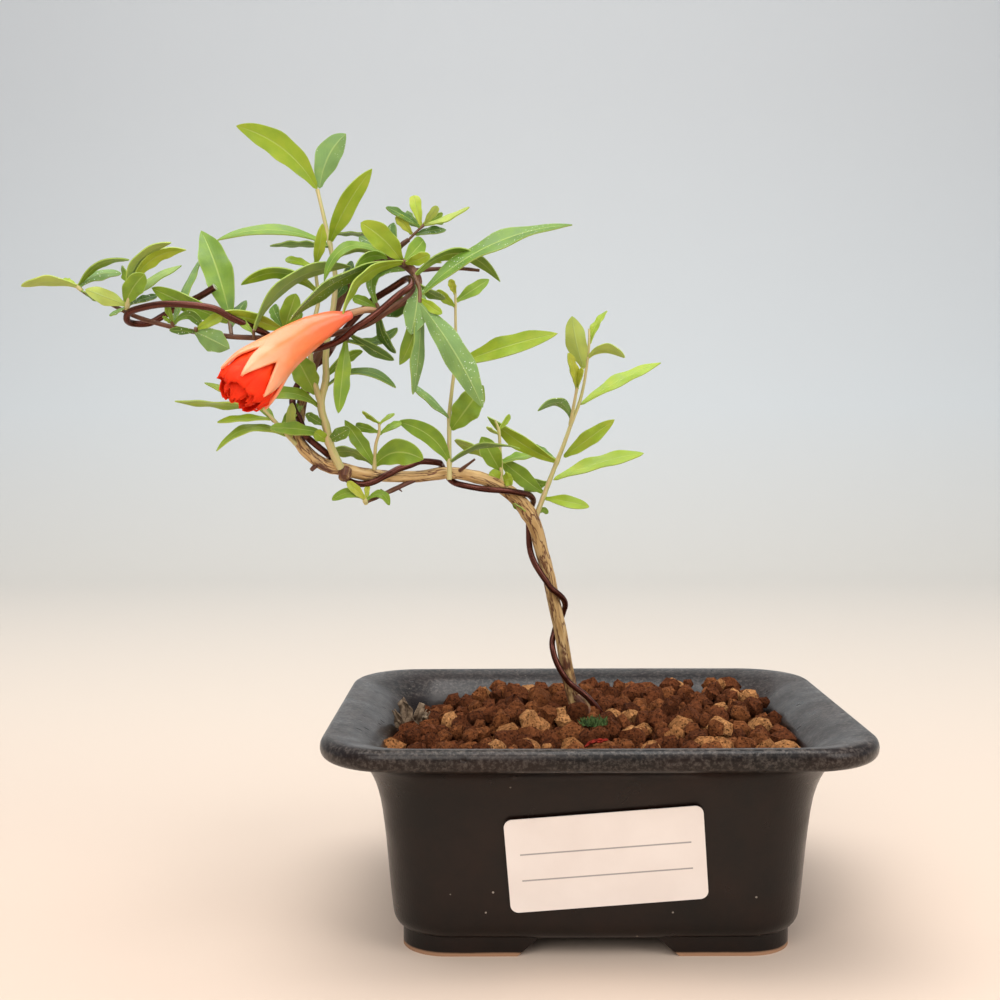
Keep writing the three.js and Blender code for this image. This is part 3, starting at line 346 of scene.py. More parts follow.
for side in (-1, 1):
    pick_only()
    spot = (pot_middle.x + side * HOLE_WAY, pot_middle.y, DRILL_MIDDLE)
    bpy.ops.mesh.primitive_cylinder_add(
        vertices=40, radius=HOLE_RADIUS, depth=DRILL_LENGTH, location=spot
    )
    drill = bpy.context.object
    apply_at_origin(drill)
    cut(pot, drill)
finish_shape(pot, 35)

GLAZE_DARK, GLAZE_BROWN = (0.003, 0.0015, 0.001), (0.011, 0.004, 0.002)
# The thin-glaze colour is also used as a painted highlight along the lip's front face.
THIN_GLAZE_AND_HIGHLIGHT, DUST, BARE_CLAY = (0.17, 0.14, 0.12), (0.42, 0.36, 0.30), (0.34, 0.19, 0.11)
CREST, UNDER_LIP = (0.965, 0.995), (0.885, 0.905)  # shares of the pot's height


def noise_of(place, scale, detail=3, roughness=0.5):
    return add_node(
        place.id_data, "TexNoise", Vector=place, Scale=scale, Detail=detail, Roughness=roughness
    ).outputs["Fac"]


def cells_of(place, scale):
    return add_node(place.id_data, "TexVoronoi", Vector=place, Scale=scale).outputs


def sums(operation, first, second=0.5):
    """A Math node on sockets or numbers."""
    tree = next(v.id_data for v in (first, second) if isinstance(v, bpy.types.NodeSocket))
    made = add_node(tree, "Math", {"operation": operation})
    set_input(made.inputs[0], first)
    set_input(made.inputs[1], second)
    return made.outputs[0]


plus, minus, times = (partial(sums, kind) for kind in ("ADD", "SUBTRACT", "MULTIPLY"))
larger, below, above = (partial(sums, kind) for kind in ("MAXIMUM", "LESS_THAN", "GREATER_THAN"))


def away_from(source, middle):
    return sums("ABSOLUTE", minus(source, middle))


def specks_on(place, scale, size, rarity):
    """Round specks, one in every cell whose random grey is above the rarity."""
    cells = cells_of(place, scale)
    return times(below(cells["Distance"], size), above(cells["Color"], rarity))


def blend(amount, first, second, way="MIX"):
    """Colour first going over to second as amount goes from 0 to 1."""
    made = add_node(first.id_data, "Mix", {"data_type": "RGBA", "blend_type": way}, Factor=amount)
    set_input(made.inputs[6], first)
    set_input(made.inputs[7], second)
    return made.outputs[2]


def bump(height, depth, strength=1.0, lower=None):
    """Relief of this depth in metres, on top of a lower one."""
    made = add_node(height.id_data, "Bump", Height=height, Distance=depth, Strength=strength)
    if lower is not None:
        feed(made, Normal=lower)
    return made.outputs["Normal"]


def rising(source, low, high):
    """Goes from 0 to 1 as the source goes from low to high."""
    made = add_node(source.id_data, "MapRange", Value=source, From_Min=low, From_Max=high)
    return made.outputs["Result"]


def wear(piece, material):
    """Gives the piece this material and no other."""
    piece.data.materials.clear()
    piece.data.materials.append(material)


material, tree, shader = new_material(
    "dark_iron_glaze", Coat_Weight=0.12, Coat_Roughness=0.14, Specular_IOR_Level=0.25
)
place = place_on(tree)
rise = split(place)["Z"]
mottle = noise_of(place, 55, 5, 0.6)
colour = ramp(mottle, [(0.36, GLAZE_DARK), (0.7, GLAZE_BROWN)])
fine = noise_of(place, 900, 4, 0.7)
crest = rising(rise, *(share * pot_high.z for share in CREST))
arris = times(rising(rise, *(share * pot_high.z for share in UNDER_LIP)), minus(1.0, crest))
# Paler glaze over the crest is glaze thinning where it breaks over the edge; over the lip's front face
# (arris) the same colour is a painted highlight.
worn_glaze_and_highlight = times(larger(crest, times(arris, 0.55)), ramp(fine, [(0.46, 0.0), (0.66, 1.0)]))
colour = blend(times(worn_glaze_and_highlight, 0.55), colour, THIN_GLAZE_AND_HIGHLIGHT)
dusty = ramp(noise_of(place, 30), [(0.45, 0.0), (0.65, 0.8)])
specks = times(specks_on(place, 420, 0.13, 0.83), dusty)
colour = blend(specks, colour, DUST)
edge = plus(rise, times(mottle, 0.8 * MM))
bare = minus(1.0, rising(edge, 1.1 * MM, 1.6 * MM))
colour = blend(bare, colour, BARE_CLAY)
gloss = ramp(noise_of(place, 120, 5), [(0.3, 0.26), (0.7, 0.42)])
relief = bump(noise_of(place, 60, 1), 0.0011, 0.4)
relief = bump(fine, 0.00012, 0.5, relief)
pits = ramp(cells_of(place, 210)["Distance"], [(0.08, 0.0), (0.2, 1.0)])
chipped = ramp(noise_of(place, 90, 2), [(0.5, 0.0), (0.58, 1.0)])
pits = larger(pits, minus(1.0, times(chipped, larger(arris, crest))))
relief = bump(pits, 0.0005, 0.8, relief)
feed(shader, Base_Color=colour, Roughness=larger(larger(gloss, specks), bare), Normal=relief)
wear(pot, material)
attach(pot, "root")
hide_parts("pot")

# ---------------------------------------------------------------- drain meshes
# A square of black plastic mesh lies over each drain hole inside the pot and keeps the soil in.
material, tree, shader = new_material("black_mesh_plastic", Roughness=0.5)
grime = noise_of(place_on(tree), 500, 4)
colour = ramp(grime, [(0.45, (0.012, 0.012, 0.013)), (0.7, (0.07, 0.045, 0.03))])
feed(shader, Base_Color=colour, Normal=bump(grime, 0.0001))
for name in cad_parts:
    if name.startswith("drain_mesh"):
        bpy.data.objects[name].material_slots[0].material = material

# ---------------------------------------------------------------- soil
# Fired volcanic clay granules, mostly red-brown with some pale ochre ones, poured round the
# roots over a bed of the same and left in a low mound behind the trunk.
BED_LEVELS = [(26.6, 10.5), (24.6, 14), (21.2, 42), (19, 48.5)]  # inset and height, millimetres
GRANULE_SIZES = [3.2, 8.6, 5.4]  # least, greatest and commonest width in millimetres
GRANULES, TRIES, GRANULE_KINDS = 560, 14, 12
BREAKS, BREAK_DEPTHS, STRETCHES = 5, (0.62, 0.9), (0.78, 1.15)  # of a lump 2 units across
SOIL_REACH, NESTLE = (60, 47), 0.88  # where they fall, and how close two of them lie
LOWEST, HIGHEST = 48.6, 1.0  # the bed's height, and how far one may rise above the mound
HALF_RIM = (74.2, 62)  # half of the rim's length and depth
WALL_INSET, SOIL_CORNER = 15.5, 9  # where the wall keeps the granules, seen from above
MOUND_FRONT, MOUND_RISE, LEFT_HOLLOW, END_FALL = 56.2, 4.2, 8.5, 1.6  # height and its changes
OCHRE_SHARE, OCHRE_CODES, RED_CODES = 0.07, (0.86, 1), (0, 0.8)  # of pale and of other granules
OCHRE_PLACES = [  # x, y from the pot's middle, and width, of pale granules at the front
    (-57, -22, 7.6), (-24, -10, 8.0), (-16, -4, 7.4), (-27.5, -27, 7.2), (-19, -27, 7.6),
    (-6.5, -27, 8.0), (27, -4, 8.4), (38, -6, 8.0), (35, -27, 8.2), (50, -2, 7.0), (54, -24, 8.6),
    (47, -30, 7.4),
]
TRUNK_FOOT, WIRE_FOOT = (-3.6, 14.5), (6, 12)

bed = drawn_wall(
    "granular_soil", [(inset * MM, z * MM) for inset, z in BED_LEVELS], BASE_CORNER - 1 * MM
)
finish_shape(bed)


def colour_code(piece, name, value):
    """Stores a number between 0 and 1 on every point, for the material to read."""
    held = piece.data.attributes.new(name, "FLOAT", "POINT")
    held.data.foreach_set("value", [value] * len(piece.data.vertices))


def stored(tree, name, output="Fac"):
    """A number or vector that the piece holds on its points."""
    return add_node(tree, "Attribute", {"attribute_name": name}).outputs[output]


def join(name, *pieces):
    """Joins the pieces into the last of them and names it."""
    pick_only(*pieces)
    bpy.ops.object.join()
    whole = bpy.context.object
    whole.name = whole.data.name = name
    return whole


def make_granule(kind):
    """A lump about 2 units across with broken faces and worn corners."""
    draw = random.Random(500 + kind)
    pick_only()
    bpy.ops.mesh.primitive_ico_sphere_add(subdivisions=1, radius=1.1)
    lump = bpy.context.object
    bpy.ops.object.mode_set(mode="EDIT")
    for _ in range(BREAKS):
        facing = Vector([draw.uniform(-1, 1) for _ in range(3)]).normalized()
        spot = facing * draw.uniform(*BREAK_DEPTHS)
        bpy.ops.mesh.select_all(action="SELECT")
        bpy.ops.mesh.bisect(plane_co=spot, plane_no=facing, use_fill=True, clear_outer=True)
    bpy.ops.mesh.select_all(action="SELECT")
    bpy.ops.mesh.remove_doubles(threshold=0.12)
    bpy.ops.mesh.quads_convert_to_tris()
    bpy.ops.transform.vertex_random(offset=0.2, seed=kind)
    bpy.ops.transform.resize(value=[draw.uniform(*STRETCHES) for _ in range(3)])
    bpy.ops.mesh.normals_make_consistent(inside=False)
    bpy.ops.object.mode_set(mode="OBJECT")
    bpy.ops.object.shade_smooth_by_angle(angle=math.radians(48))
    return lump


def mound(x, y):
    """Height that the granules' tops reach, millimetres from the pot's middle and feet."""
    back = np.clip((y + 32) / 72, 0, 1)
    hollow = np.clip((-x - 26) / 26, 0, 1) * np.clip((y + 12) / 40, 0, 1)
    ends = np.clip((np.abs(x) - 46) / 16, 0, 1)
    risen = MOUND_FRONT + MOUND_RISE * back * back * (3 - 2 * back)
    return risen - LEFT_HOLLOW * hollow - END_FALL * ends


def inside_wall(x, y, radius):
    """Whether a granule of this radius stands clear of the wall."""
    past = [
        np.maximum(abs(spot) - (half - WALL_INSET - radius - SOIL_CORNER), 0)
        for spot, half in zip((x, y), HALF_RIM)
    ]
    return np.hypot(*past) < SOIL_CORNER


draw = random.Random(31)
laid = np.zeros((0, 4))  # x, y, z, radius
codes = []
for x, y, width in OCHRE_PLACES:
    laid = np.vstack([laid, (x, y, mound(x, y) - width / 2 - 0.2, width / 2)])
    codes.append(draw.uniform(*OCHRE_CODES))
while len(laid) < GRANULES:
    radius = draw.triangular(*GRANULE_SIZES) / 2
    best = None
    for _ in range(TRIES):
        x, y = (draw.uniform(-reach, reach) for reach in SOIL_REACH)
        if not inside_wall(x, y, radius):
            continue
        if min(math.dist((x, y), TRUNK_FOOT), math.dist((x, y), WIRE_FOOT) + 1) < radius + 2:
            continue
        away = np.hypot(laid[:, 0] - x, laid[:, 1] - y)
        reach = (radius + laid[:, 3]) * NESTLE
        near = away < reach
        rest = laid[near, 2] + np.sqrt(reach[near] ** 2 - away[near] ** 2)
        z = max([LOWEST + radius * 0.5, *rest])
        over = z + radius - mound(x, y)
        if best is None or over < best[0]:
            best = (over, x, y, z)
    if best is None or best[0] > HIGHEST:
        if draw.random() < 0.02:
            break
        continue
    laid = np.vstack([laid, (*best[1:], radius)])
    codes.append(draw.uniform(*(OCHRE_CODES if draw.random() < OCHRE_SHARE else RED_CODES)))

kinds = [make_granule(kind) for kind in range(GRANULE_KINDS)]
copies = []
for (x, y, z, radius), code in zip(laid, codes):
    granule = add_object("granule", kinds[draw.randrange(GRANULE_KINDS)].data.copy())
    turns = [Matrix.Rotation(draw.uniform(0, 6.28), 4, axis) for axis in "ZX"]
    granule.data.transform(
        Matrix.Translation(pot_middle + Vector((x, y, z)) * MM) @ (turns[0] @ turns[1])
        @ Matrix.Scale(radius * 1.12 * MM, 4)
    )
    colour_code(granule, "ochre", code)
    copies.append(granule)
for kind in kinds:
    bpy.data.objects.remove(kind)
colour_code(bed, "ochre", 0.1)
soil = join("granular_soil", *copies, bed)

material, tree, shader = new_material(
    "fired_clay_granules", Roughness=1.0, Specular_IOR_Level=0.08
)
place = place_on(tree)
body = ramp(stored(tree, "ochre"), [
    (0.0, (0.09, 0.027, 0.010)), (0.4, (0.15, 0.046, 0.017)), (0.8, (0.24, 0.083, 0.028)),
    (0.88, (0.40, 0.17, 0.06)), (1.0, (0.53, 0.25, 0.095)),
])
crumb = noise_of(place, 900, 6, 0.75)
shade = ramp(crumb, [(0.33, 0.35), (0.5, 0.85), (0.66, 1.45)])
shaded_pores = ramp(cells_of(place, 1100)["Distance"], [(0.18, 1.0), (0.34, 0.0)])
# The granules' pores are painted near black: painted shade inside them.
colour = blend(times(shaded_pores, 0.7), blend(1.0, body, shade, "MULTIPLY"), (0.03, 0.010, 0.006))
relief = bump(noise_of(place, 420, 5, 0.75), 0.0013, 1.0)
relief = bump(minus(crumb, shaded_pores), 0.0005, 0.9, relief)
feed(shader, Base_Color=colour, Normal=relief)
wear(soil, material)
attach(soil, "root")
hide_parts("soil")

# ---------------------------------------------------------------- trunk and twigs
# One stem of young wood, bent to and fro and then out into a long branch, with flaking
# red-brown bark over a tan one, a sawn stub, thorny dead twigs and a root that dives away.

# Wood, wire and leaves are laid out in millimetres on the front elevation, u to the right and v
# up as seen from the camera, with y the depth behind the pot's middle.
TRUNK = [
    (-3.5, 44, 15, 2.6), (-4, 59.5, 15, 2.2), (-5.5, 64.5, 14, 2), (-7, 72, 12, 1.95),
    (-8.5, 81, 10, 1.9), (-10.5, 90, 8, 1.9), (-12, 97.5, 6, 1.9), (-14, 104.5, 4, 1.95),
    (-16, 112, 1, 2.1), (-19.5, 118, -2, 2.2), (-24.5, 122.5, -6, 2), (-30.5, 125.5, -10, 1.8),
    (-36.5, 127, -13, 1.7), (-42.5, 127.5, -16, 1.65), (-49.5, 126.5, -20, 1.6),
    (-57, 126.5, -23, 1.6), (-64.5, 127, -26, 1.65), (-71.5, 128.5, -29, 1.75),
    (-77.5, 130, -31, 1.7), (-82.5, 133.5, -33, 1.6), (-85.5, 138, -34, 1.55),
    (-85, 143, -34, 1.45), (-84, 148.5, -34, 1.35), (-82.5, 153.5, -34, 1.3),
    (-80, 160.5, -33, 1.25), (-76.5, 168, -32, 1.2), (-73.5, 176, -31, 1.15),
    (-71, 180.5, -31, 1.1), (-67.5, 184, -32, 1.1), (-63, 188, -34, 1.1), (-57.5, 189.5, -38, 1.2),
    (-51.5, 186.5, -43, 1.2), (-50, 182.5, -47, 1.1), (-53, 178.5, -49.5, 1),
    (-58.5, 175, -50, 0.9), (-65, 171, -50, 0.85), (-71.5, 169, -49, 0.8), (-78, 167.5, -48, 0.75),
    (-85, 166, -47, 0.72), (-94.5, 167, -46, 0.7), (-104.5, 167.5, -45, 0.68),
    (-115.5, 169, -43, 0.65), (-122.5, 170.5, -42, 0.62), (-132.5, 173.5, -40, 0.6),
    (-140.5, 177.5, -38, 0.5), (-147.5, 180.5, -36, 0.4),
]
TWIGS = [
    ((1.8, 1.5), [(-71.5, 128.5, -30), (-72, 126, -32)]),
    ((0.8, 0.6), [(-79, 131, -31), (-81.5, 128.5, -33)]),
    ((0.75, 0.5), [(-49.5, 126.5, -20), (-54.5, 124, -23), (-61, 121, -26), (-65.5, 119, -28)]),
    ((0.8, 0.6), [(-57.5, 189.5, -38), (-55, 193.5, -38), (-52.5, 195.5, -38)]),
    ((0.6, 0.4), [(-51.5, 186.5, -43), (-43.5, 187, -42), (-37, 187, -41), (-32, 186.5, -40)]),
    ((0.6, 0.3), [(-39.5, 127, -14.5), (-33.5, 131.5, -17)]),
    ((1.3, 1.0), [(-3.5, 61, 13), (-0.5, 58, 10), (1.5, 52, 8)]),
]
DEADNESS = [0.25, 0.9, 1, 1, 1, 0.6, 0]  # of each twig; 0 is bark like the trunk's

TRUNK_SIDES, TRUNK_STEPS, TWIG_SIDES = 28, 620, 12
LIFT = 1.4  # of v = 0 above the feet, in millimetres
BARK_RIDGES, BARK_TWIST = 7, 0.09  # flutes round the trunk, and how they wind along it
RIDGE_RISE, LUMP_RISE, KNOT_RISE = 0.035, 0.07, 0.22  # shares of the radius
GRAIN_RADIUS = 2 * MM  # of the round stick on which the grain's marks are laid out
KNOT_REACH = 0.22  # in stations, which are the points of TRUNK
KNOTS = [  # station and size
    (8.6, 0.5), (11.4, 0.3), (13.2, 0.35), (16.1, 0.35), (17.6, 0.45), (19.3, 0.3),
]


def at(u, v, y):
    """A point of the front elevation, moved along the line of sight to depth y; in metres."""
    view = (eye - pot_middle) / MM
    reach = (y - view.y) / -view.y
    point = Vector((view.x + (u - view.x) * reach, y, view.z + (v + LIFT - view.z) * reach))
    return pot_middle + point * MM


def frames_along(points):
    """Unit directions along a path, and two across it that turn as little as they can."""
    ahead = np.gradient(points, axis=0)
    ahead /= np.linalg.norm(ahead, axis=1)[:, None]
    side = np.cross(ahead[0], (0.31, 0.95, 0.11))
    sides = []
    for direction in ahead:
        side = side - direction * side.dot(direction)
        side /= np.linalg.norm(side)
        sides.append(side)
    return ahead, np.array(sides), np.cross(ahead, sides)


def tube(name, points, radii, sides):
    """A grid rolled into a closed round stick along points. radii holds a number for each
    point, or a row of them for each point's sides."""
    radii = np.broadcast_to(np.array(radii, float).reshape(len(points), -1), (len(points), sides))
    _, side, other = frames_along(points)
    turn = np.linspace(0, 2 * math.pi, sides, endpoint=False)
    cosine, sine = np.cos(turn)[None, :, None], np.sin(turn)[None, :, None]
    wall = points[:, None] + (cosine * side[:, None] + sine * other[:, None]) * radii[:, :, None]
    ends = [np.repeat(points[i][None, None], sides, 1) for i in (0, -1)]
    wall = np.concatenate([ends[0], wall, ends[1]])
    wall = np.concatenate([wall, wall[:, :1]], 1)
    rows, columns = wall.shape[:2]
    pick_only()
    bpy.ops.mesh.primitive_grid_add(x_subdivisions=columns - 1, y_subdivisions=rows - 1, size=1)
    stick = bpy.context.object
    stick.name = stick.data.name = name
    stick.data.vertices.foreach_set("co", wall.reshape(-1))
    length = np.concatenate([[0], np.cumsum(np.linalg.norm(np.diff(points, axis=0), axis=1))])
    length = np.concatenate([length[:1], length, length[-1:]])
    turn = np.append(turn, 0)
    around = np.stack(np.broadcast_arrays(
        GRAIN_RADIUS * np.cos(turn)[None], GRAIN_RADIUS * np.sin(turn)[None], length[:, None]
    ), axis=-1)
    held = stick.data.attributes.new("grain", "FLOAT_VECTOR", "POINT")
    held.data.foreach_set("vector", around.reshape(-1))
    stick.data.update()
    finish_shape(stick, 60)
    return stick


def squeezed(grain, share):
    """The grain's coordinates pressed together along the piece, so that marks run long."""
    return add_node(grain.id_data, "Mapping", Vector=grain, Scale=(1, 1, share)).outputs["Vector"]


trunk_points = np.array([at(u, v, y) for u, v, y, _ in TRUNK])
trunk_path = smooth_path(trunk_points, TRUNK_STEPS)
station = np.linspace(0, len(TRUNK) - 1, TRUNK_STEPS + 1)
girth = np.interp(station, range(len(TRUNK)), [row[3] * MM for row in TRUNK])
turn = np.linspace(0, 2 * math.pi, TRUNK_SIDES, endpoint=False)
flute = np.cos(BARK_RIDGES * (turn[None] + BARK_TWIST * station[:, None] * 6))
thick_part = np.clip((24 - station) / 6, 0.25, 1)[:, None]  # the ridges fade on the branch
girths = girth[:, None] * (1 + RIDGE_RISE * flute * thick_part)
for place, swell in KNOTS:
    girths *= 1 + KNOT_RISE * swell * np.exp(-(((station - place) / KNOT_REACH) ** 2))[:, None]
for i, row in enumerate(girths):
    for k in range(TRUNK_SIDES):
        spot = Vector((math.cos(turn[k]) * 2.2, math.sin(turn[k]) * 2.2, station[i] * 1.6))
        row[k] *= 1 + LUMP_RISE * noise.noise(spot) * thick_part[i, 0]
trunk = tube("trunk_and_branch", trunk_path, girths, TRUNK_SIDES)
colour_code(trunk, "dead", 0.0)
parts = []
for dead, (radii, path) in zip(DEADNESS, TWIGS):
    path = smooth_path([at(*point) for point in path], 10 * (len(path) - 1))
    steps = len(path)
    swells = 1 + 0.12 * np.abs(np.sin(np.linspace(0, 3.1 * steps / 10, steps))) ** 6
    twig = tube("twig", path, np.linspace(*radii, steps) * swells * MM, TWIG_SIDES)
    colour_code(twig, "dead", dead)
    parts.append(twig)
THORNS = [  # where on the dead twig, and which way, the buds and thorns stand off
    ((-56.5, 123.4, -24), (1.6, -1.4, -0.5)), ((-60, 121.6, -25.6), (-1.2, 1.2, -0.8)),
    ((-38, 187, -41), (0.4, 1.6, -0.6)),
]
for spot, lean in THORNS:
    start, end = at(*spot), at(*(a + b for a, b in zip(spot, lean)))
    path = smooth_path([start, start.lerp(end, 0.5), end], 6)
    thorn = tube("thorn", path, np.linspace(0.5, 0.12, 7) * MM, 8)
    colour_code(thorn, "dead", 1.0)
    parts.append(thorn)
trunk = join("trunk_and_branch", *parts, trunk)

material, tree, shader = new_material("flaking_young_bark", Roughness=0.62)
grain = stored(tree, "grain", "Vector")
long_grain = squeezed(grain, 0.16)
skin = noise_of(long_grain, 900, 5, 0.6)
tan = ramp(skin, [
    (0.32, (0.40, 0.235, 0.085)), (0.5, (0.56, 0.36, 0.145)), (0.68, (0.66, 0.47, 0.23)),
])
cracked = ramp(away_from(noise_of(long_grain, 520, 3, 0.55), 0.5), [(0.008, 1.0), (0.03, 0.0)])
patchy = noise_of(squeezed(grain, 0.35), 330, 4, 0.6)
# How much of the bark is brown at each distance along the wood: most near the foot and up the branch,
# least in between.
brown_by_length = ramp(times(split(grain)["Z"], 3.2), [
    (0.0, 0.55), (0.10, 0.4), (0.2, 0.12), (0.36, 0.12), (0.52, 0.45), (0.62, 0.9), (0.8, 1.0),
])
flaked = ramp(plus(times(patchy, 0.55), times(brown_by_length, 0.5)), [(0.46, 0.0), (0.53, 1.0)])
brown = ramp(noise_of(long_grain, 1400, 4, 0.7), [
    (0.3, (0.055, 0.020, 0.010)), (0.55, (0.15, 0.055, 0.024)), (0.75, (0.28, 0.12, 0.05)),
])
colour = blend(flaked, tan, brown)
colour = blend(times(cracked, 0.9), colour, (0.13, 0.035, 0.014))
colour = blend(times(stored(tree, "dead"), 0.85), colour, (0.11, 0.035, 0.018))
relief = bump(plus(flaked, minus(1.0, cracked)), 0.0003, 0.7, bump(skin, 0.0002, 0.6))
feed(shader, Base_Color=colour, Normal=relief)
wear(trunk, material)
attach(trunk, "root")
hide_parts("trunk")

# ---------------------------------------------------------------- training wire
# One length of brown-anodised aluminium wire, 1.8 mm thick, anchored in the soil and wound up
# the trunk and out along the branch, with a bright cut at its free end.
WIRE_START = [(8, 46, 13), (5, 53, 12.5), (3, 57, 11), (-1, 61.5, 9.8)]
WIRE_TURNS = [  # station along the trunk, degrees round it from the front, and slack
    (2.3, 0, 0), (3.5, -90, 0), (4.15, -180, 0), (4.8, -270, 0), (5.6, -360, 0), (7, -450, 0),
    (8.3, -540, 0), (9, -630, 0), (9.7, -690, 0), (10.4, -735, 0), (11.2, -790, 0), (12.2, -815, 0),
    (12.75, -900, 0), (13.15, -985, 0), (14, -1000, 1.3), (15, -1040, 0.3), (15.6, -1085, 0),
    (16.4, -1165, 0), (17.2, -1260, 0), (18.2, -1345, 0), (19.5, -1365, 0), (20.5, -1405, 0),
    (21.1, -1440, 0), (22, -1525, 0), (23, -1560, 0), (23.8, -1620, 0), (24.6, -1710, 0),
]
WIRE_END = [
    (-74, 166, -35.5), (-69, 172, -39), (-63, 178, -42), (-57.5, 181.5, -44), (-53.5, 184, -46),
    (-52, 184, -49), (-52, 182, -52), (-55.5, 179.5, -53.5), (-61.5, 174.5, -53.5),
    (-65, 172, -53.5), (-68, 170, -53), (-72.5, 166.5, -51.5), (-77.5, 164.5, -50),
    (-83, 163.5, -47.5), (-87.5, 164, -44.5), (-91, 165.5, -43.2), (-94, 168, -43.8),
    (-99, 170.5, -46.5), (-104.5, 173, -48), (-109, 175.5, -48.5), (-114, 176.5, -48.5),
    (-119.5, 177, -48), (-124.5, 177, -47), (-130.5, 176, -45), (-134.5, 174.5, -43),
    (-135, 172.5, -41.2), (-133.5, 171.5, -39), (-128.5, 171.5, -36.5), (-124.5, 173.5, -36),
    (-119.5, 176.5, -37), (-114, 179, -38), (-109, 182, -39),
]
WIRE_RADIUS, WIRE_SIDES, WIRE_STEPS = 0.9 * MM, 16, 900
TURN_STEP, PER_STATION = 22, 20  # degrees between points, and places for them in a station
WIRE_CLEARANCE = 0.39  # between wire and bark, in millimetres
CUT_END = 0.2 * MM  # length that shows bare metal
beside = smooth_path(trunk_points, (len(TRUNK) - 1) * PER_STATION)


def wound_point(place, degrees, slack):
    """The wire's middle beside the trunk, so many degrees round from the front."""
    i = min(int(place), len(TRUNK) - 2)
    spot = int(round(place * PER_STATION))
    centre = Vector(beside[spot])
    along = Vector(beside[min(spot + 1, len(beside) - 1)] - beside[max(spot - 1, 0)]).normalized()
    radius = TRUNK[i][3] + (TRUNK[i + 1][3] - TRUNK[i][3]) * (place - i)
    front = eye - centre
    front = (front - along * front.dot(along)).normalized()
    reach = radius * MM + WIRE_RADIUS + (WIRE_CLEARANCE + slack) * MM
    turn = math.radians(degrees)
    return centre + (front * math.cos(turn) + along.cross(front) * math.sin(turn)) * reach


route = [at(*point) for point in WIRE_START]
for before, after in zip(WIRE_TURNS, WIRE_TURNS[1:]):
    pieces = max(1, round(abs(after[1] - before[1]) / TURN_STEP))
    for k in range(pieces):
        route.append(wound_point(*(a + (b - a) * k / pieces for a, b in zip(before, after))))
route.append(wound_point(*WIRE_TURNS[-1]))
route += [at(*point) for point in WIRE_END]
wire_path = smooth_path(route, WIRE_STEPS)
wire_radii = np.full(len(wire_path), WIRE_RADIUS)
wire = tube("training_wire", wire_path, wire_radii, WIRE_SIDES)

material, tree, shader = new_material(
    "brown_anodised_aluminium", Metallic=0.75, Specular_IOR_Level=0.6
)
grain = stored(tree, "grain", "Vector")
drawn = noise_of(squeezed(grain, 0.05), 1500, 3)
colour = ramp(drawn, [(0.35, (0.055, 0.013, 0.008)), (0.65, (0.12, 0.034, 0.021))])
wire_length = float(np.linalg.norm(np.diff(wire_path, axis=0), axis=1).sum())
colour = blend(above(split(grain)["Z"], wire_length - CUT_END), colour, (0.75, 0.74, 0.72))
dull = ramp(noise_of(grain, 700, 4), [(0.35, 0.24), (0.7, 0.4)])
feed(shader, Base_Color=colour, Roughness=dull, Normal=bump(drawn, 0.00004, 0.4))
wear(wire, material)
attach(wire, "root")
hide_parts("training_wire")

# ---------------------------------------------------------------- litter on the soil
# A tuft of moss grows beside the trunk, a weed has withered in the left corner, and a scrap of
# fallen petal lies near the front. All of it is small and stays with the soil.
MOSS_SPOT, MOSS_BLADES, MOSS_SPREAD = (0.6, -10.5, 56.6), 110, 4.0  # from the pot's middle, mm
WITHERED = [  # where its foot is, width and height, how far it leans right and back, seed
    ((-54, 4, 52.5), 4.5, 8.5, (-1.5, 1), 2.0), ((-52, 5, 52.5), 3.5, 7, (2.5, -1), 7.3),
    ((-55.5, 3, 52.5), 3, 5.5, (-2.5, -1.5), 11.9), ((-50, 7, 53), 3, 3.5, (2, 1), 15.1),
]
SCRAP = ((-1.5, -34, 56.3), 2.8, 0.7, (4.5, 1.5), 21.0)
LITTER_THICKNESS = 0.25 * MM
noise.seed_set(5)  # for the curl of the weed and the scrap


def thicken(sheet, thickness, slots_on=0):
    """Thickens a sheet inwards; its back takes the material so many slots on."""
    solidify = sheet.modifiers.new("thickness", "SOLIDIFY")
    solidify.thickness = thickness
    solidify.offset = -1
    solidify.material_offset = slots_on
    pick_only(sheet)
    bpy.ops.object.modifier_apply(modifier="thickness")


def crumpled_sheet(spot, width, height, lean, seed):
    """A dry scrap that stands on the soil and narrows towards its curled end."""
    pick_only()
    bpy.ops.mesh.primitive_grid_add(x_subdivisions=9, y_subdivisions=9, size=1)
    sheet = bpy.context.object
    for vertex in sheet.data.vertices:
        x, t = vertex.co.x, vertex.co.y + 0.5
        curl = noise.noise_vector(Vector((x * 2.4 + seed, t * 2.4, seed))) * width * 0.45
        shape = Vector((x * width * (1 - 0.55 * t) + lean[0] * t, lean[1] * t, height * t))
        vertex.co = pot_middle + (Vector(spot) + shape + curl) * MM
    thicken(sheet, LITTER_THICKNESS)
    bpy.ops.object.shade_smooth()
    return sheet


def litter_material(name, dark, light):
    material, tree, shader = new_material(name, Roughness=0.85, Specular_IOR_Level=0.15)
    mottle = noise_of(place_on(tree), 700, 4, 0.65)
    colour = ramp(mottle, [(0.35, dark), (0.65, light)])
    feed(shader, Base_Color=colour, Normal=bump(mottle, 0.0003, 0.8))
    return material


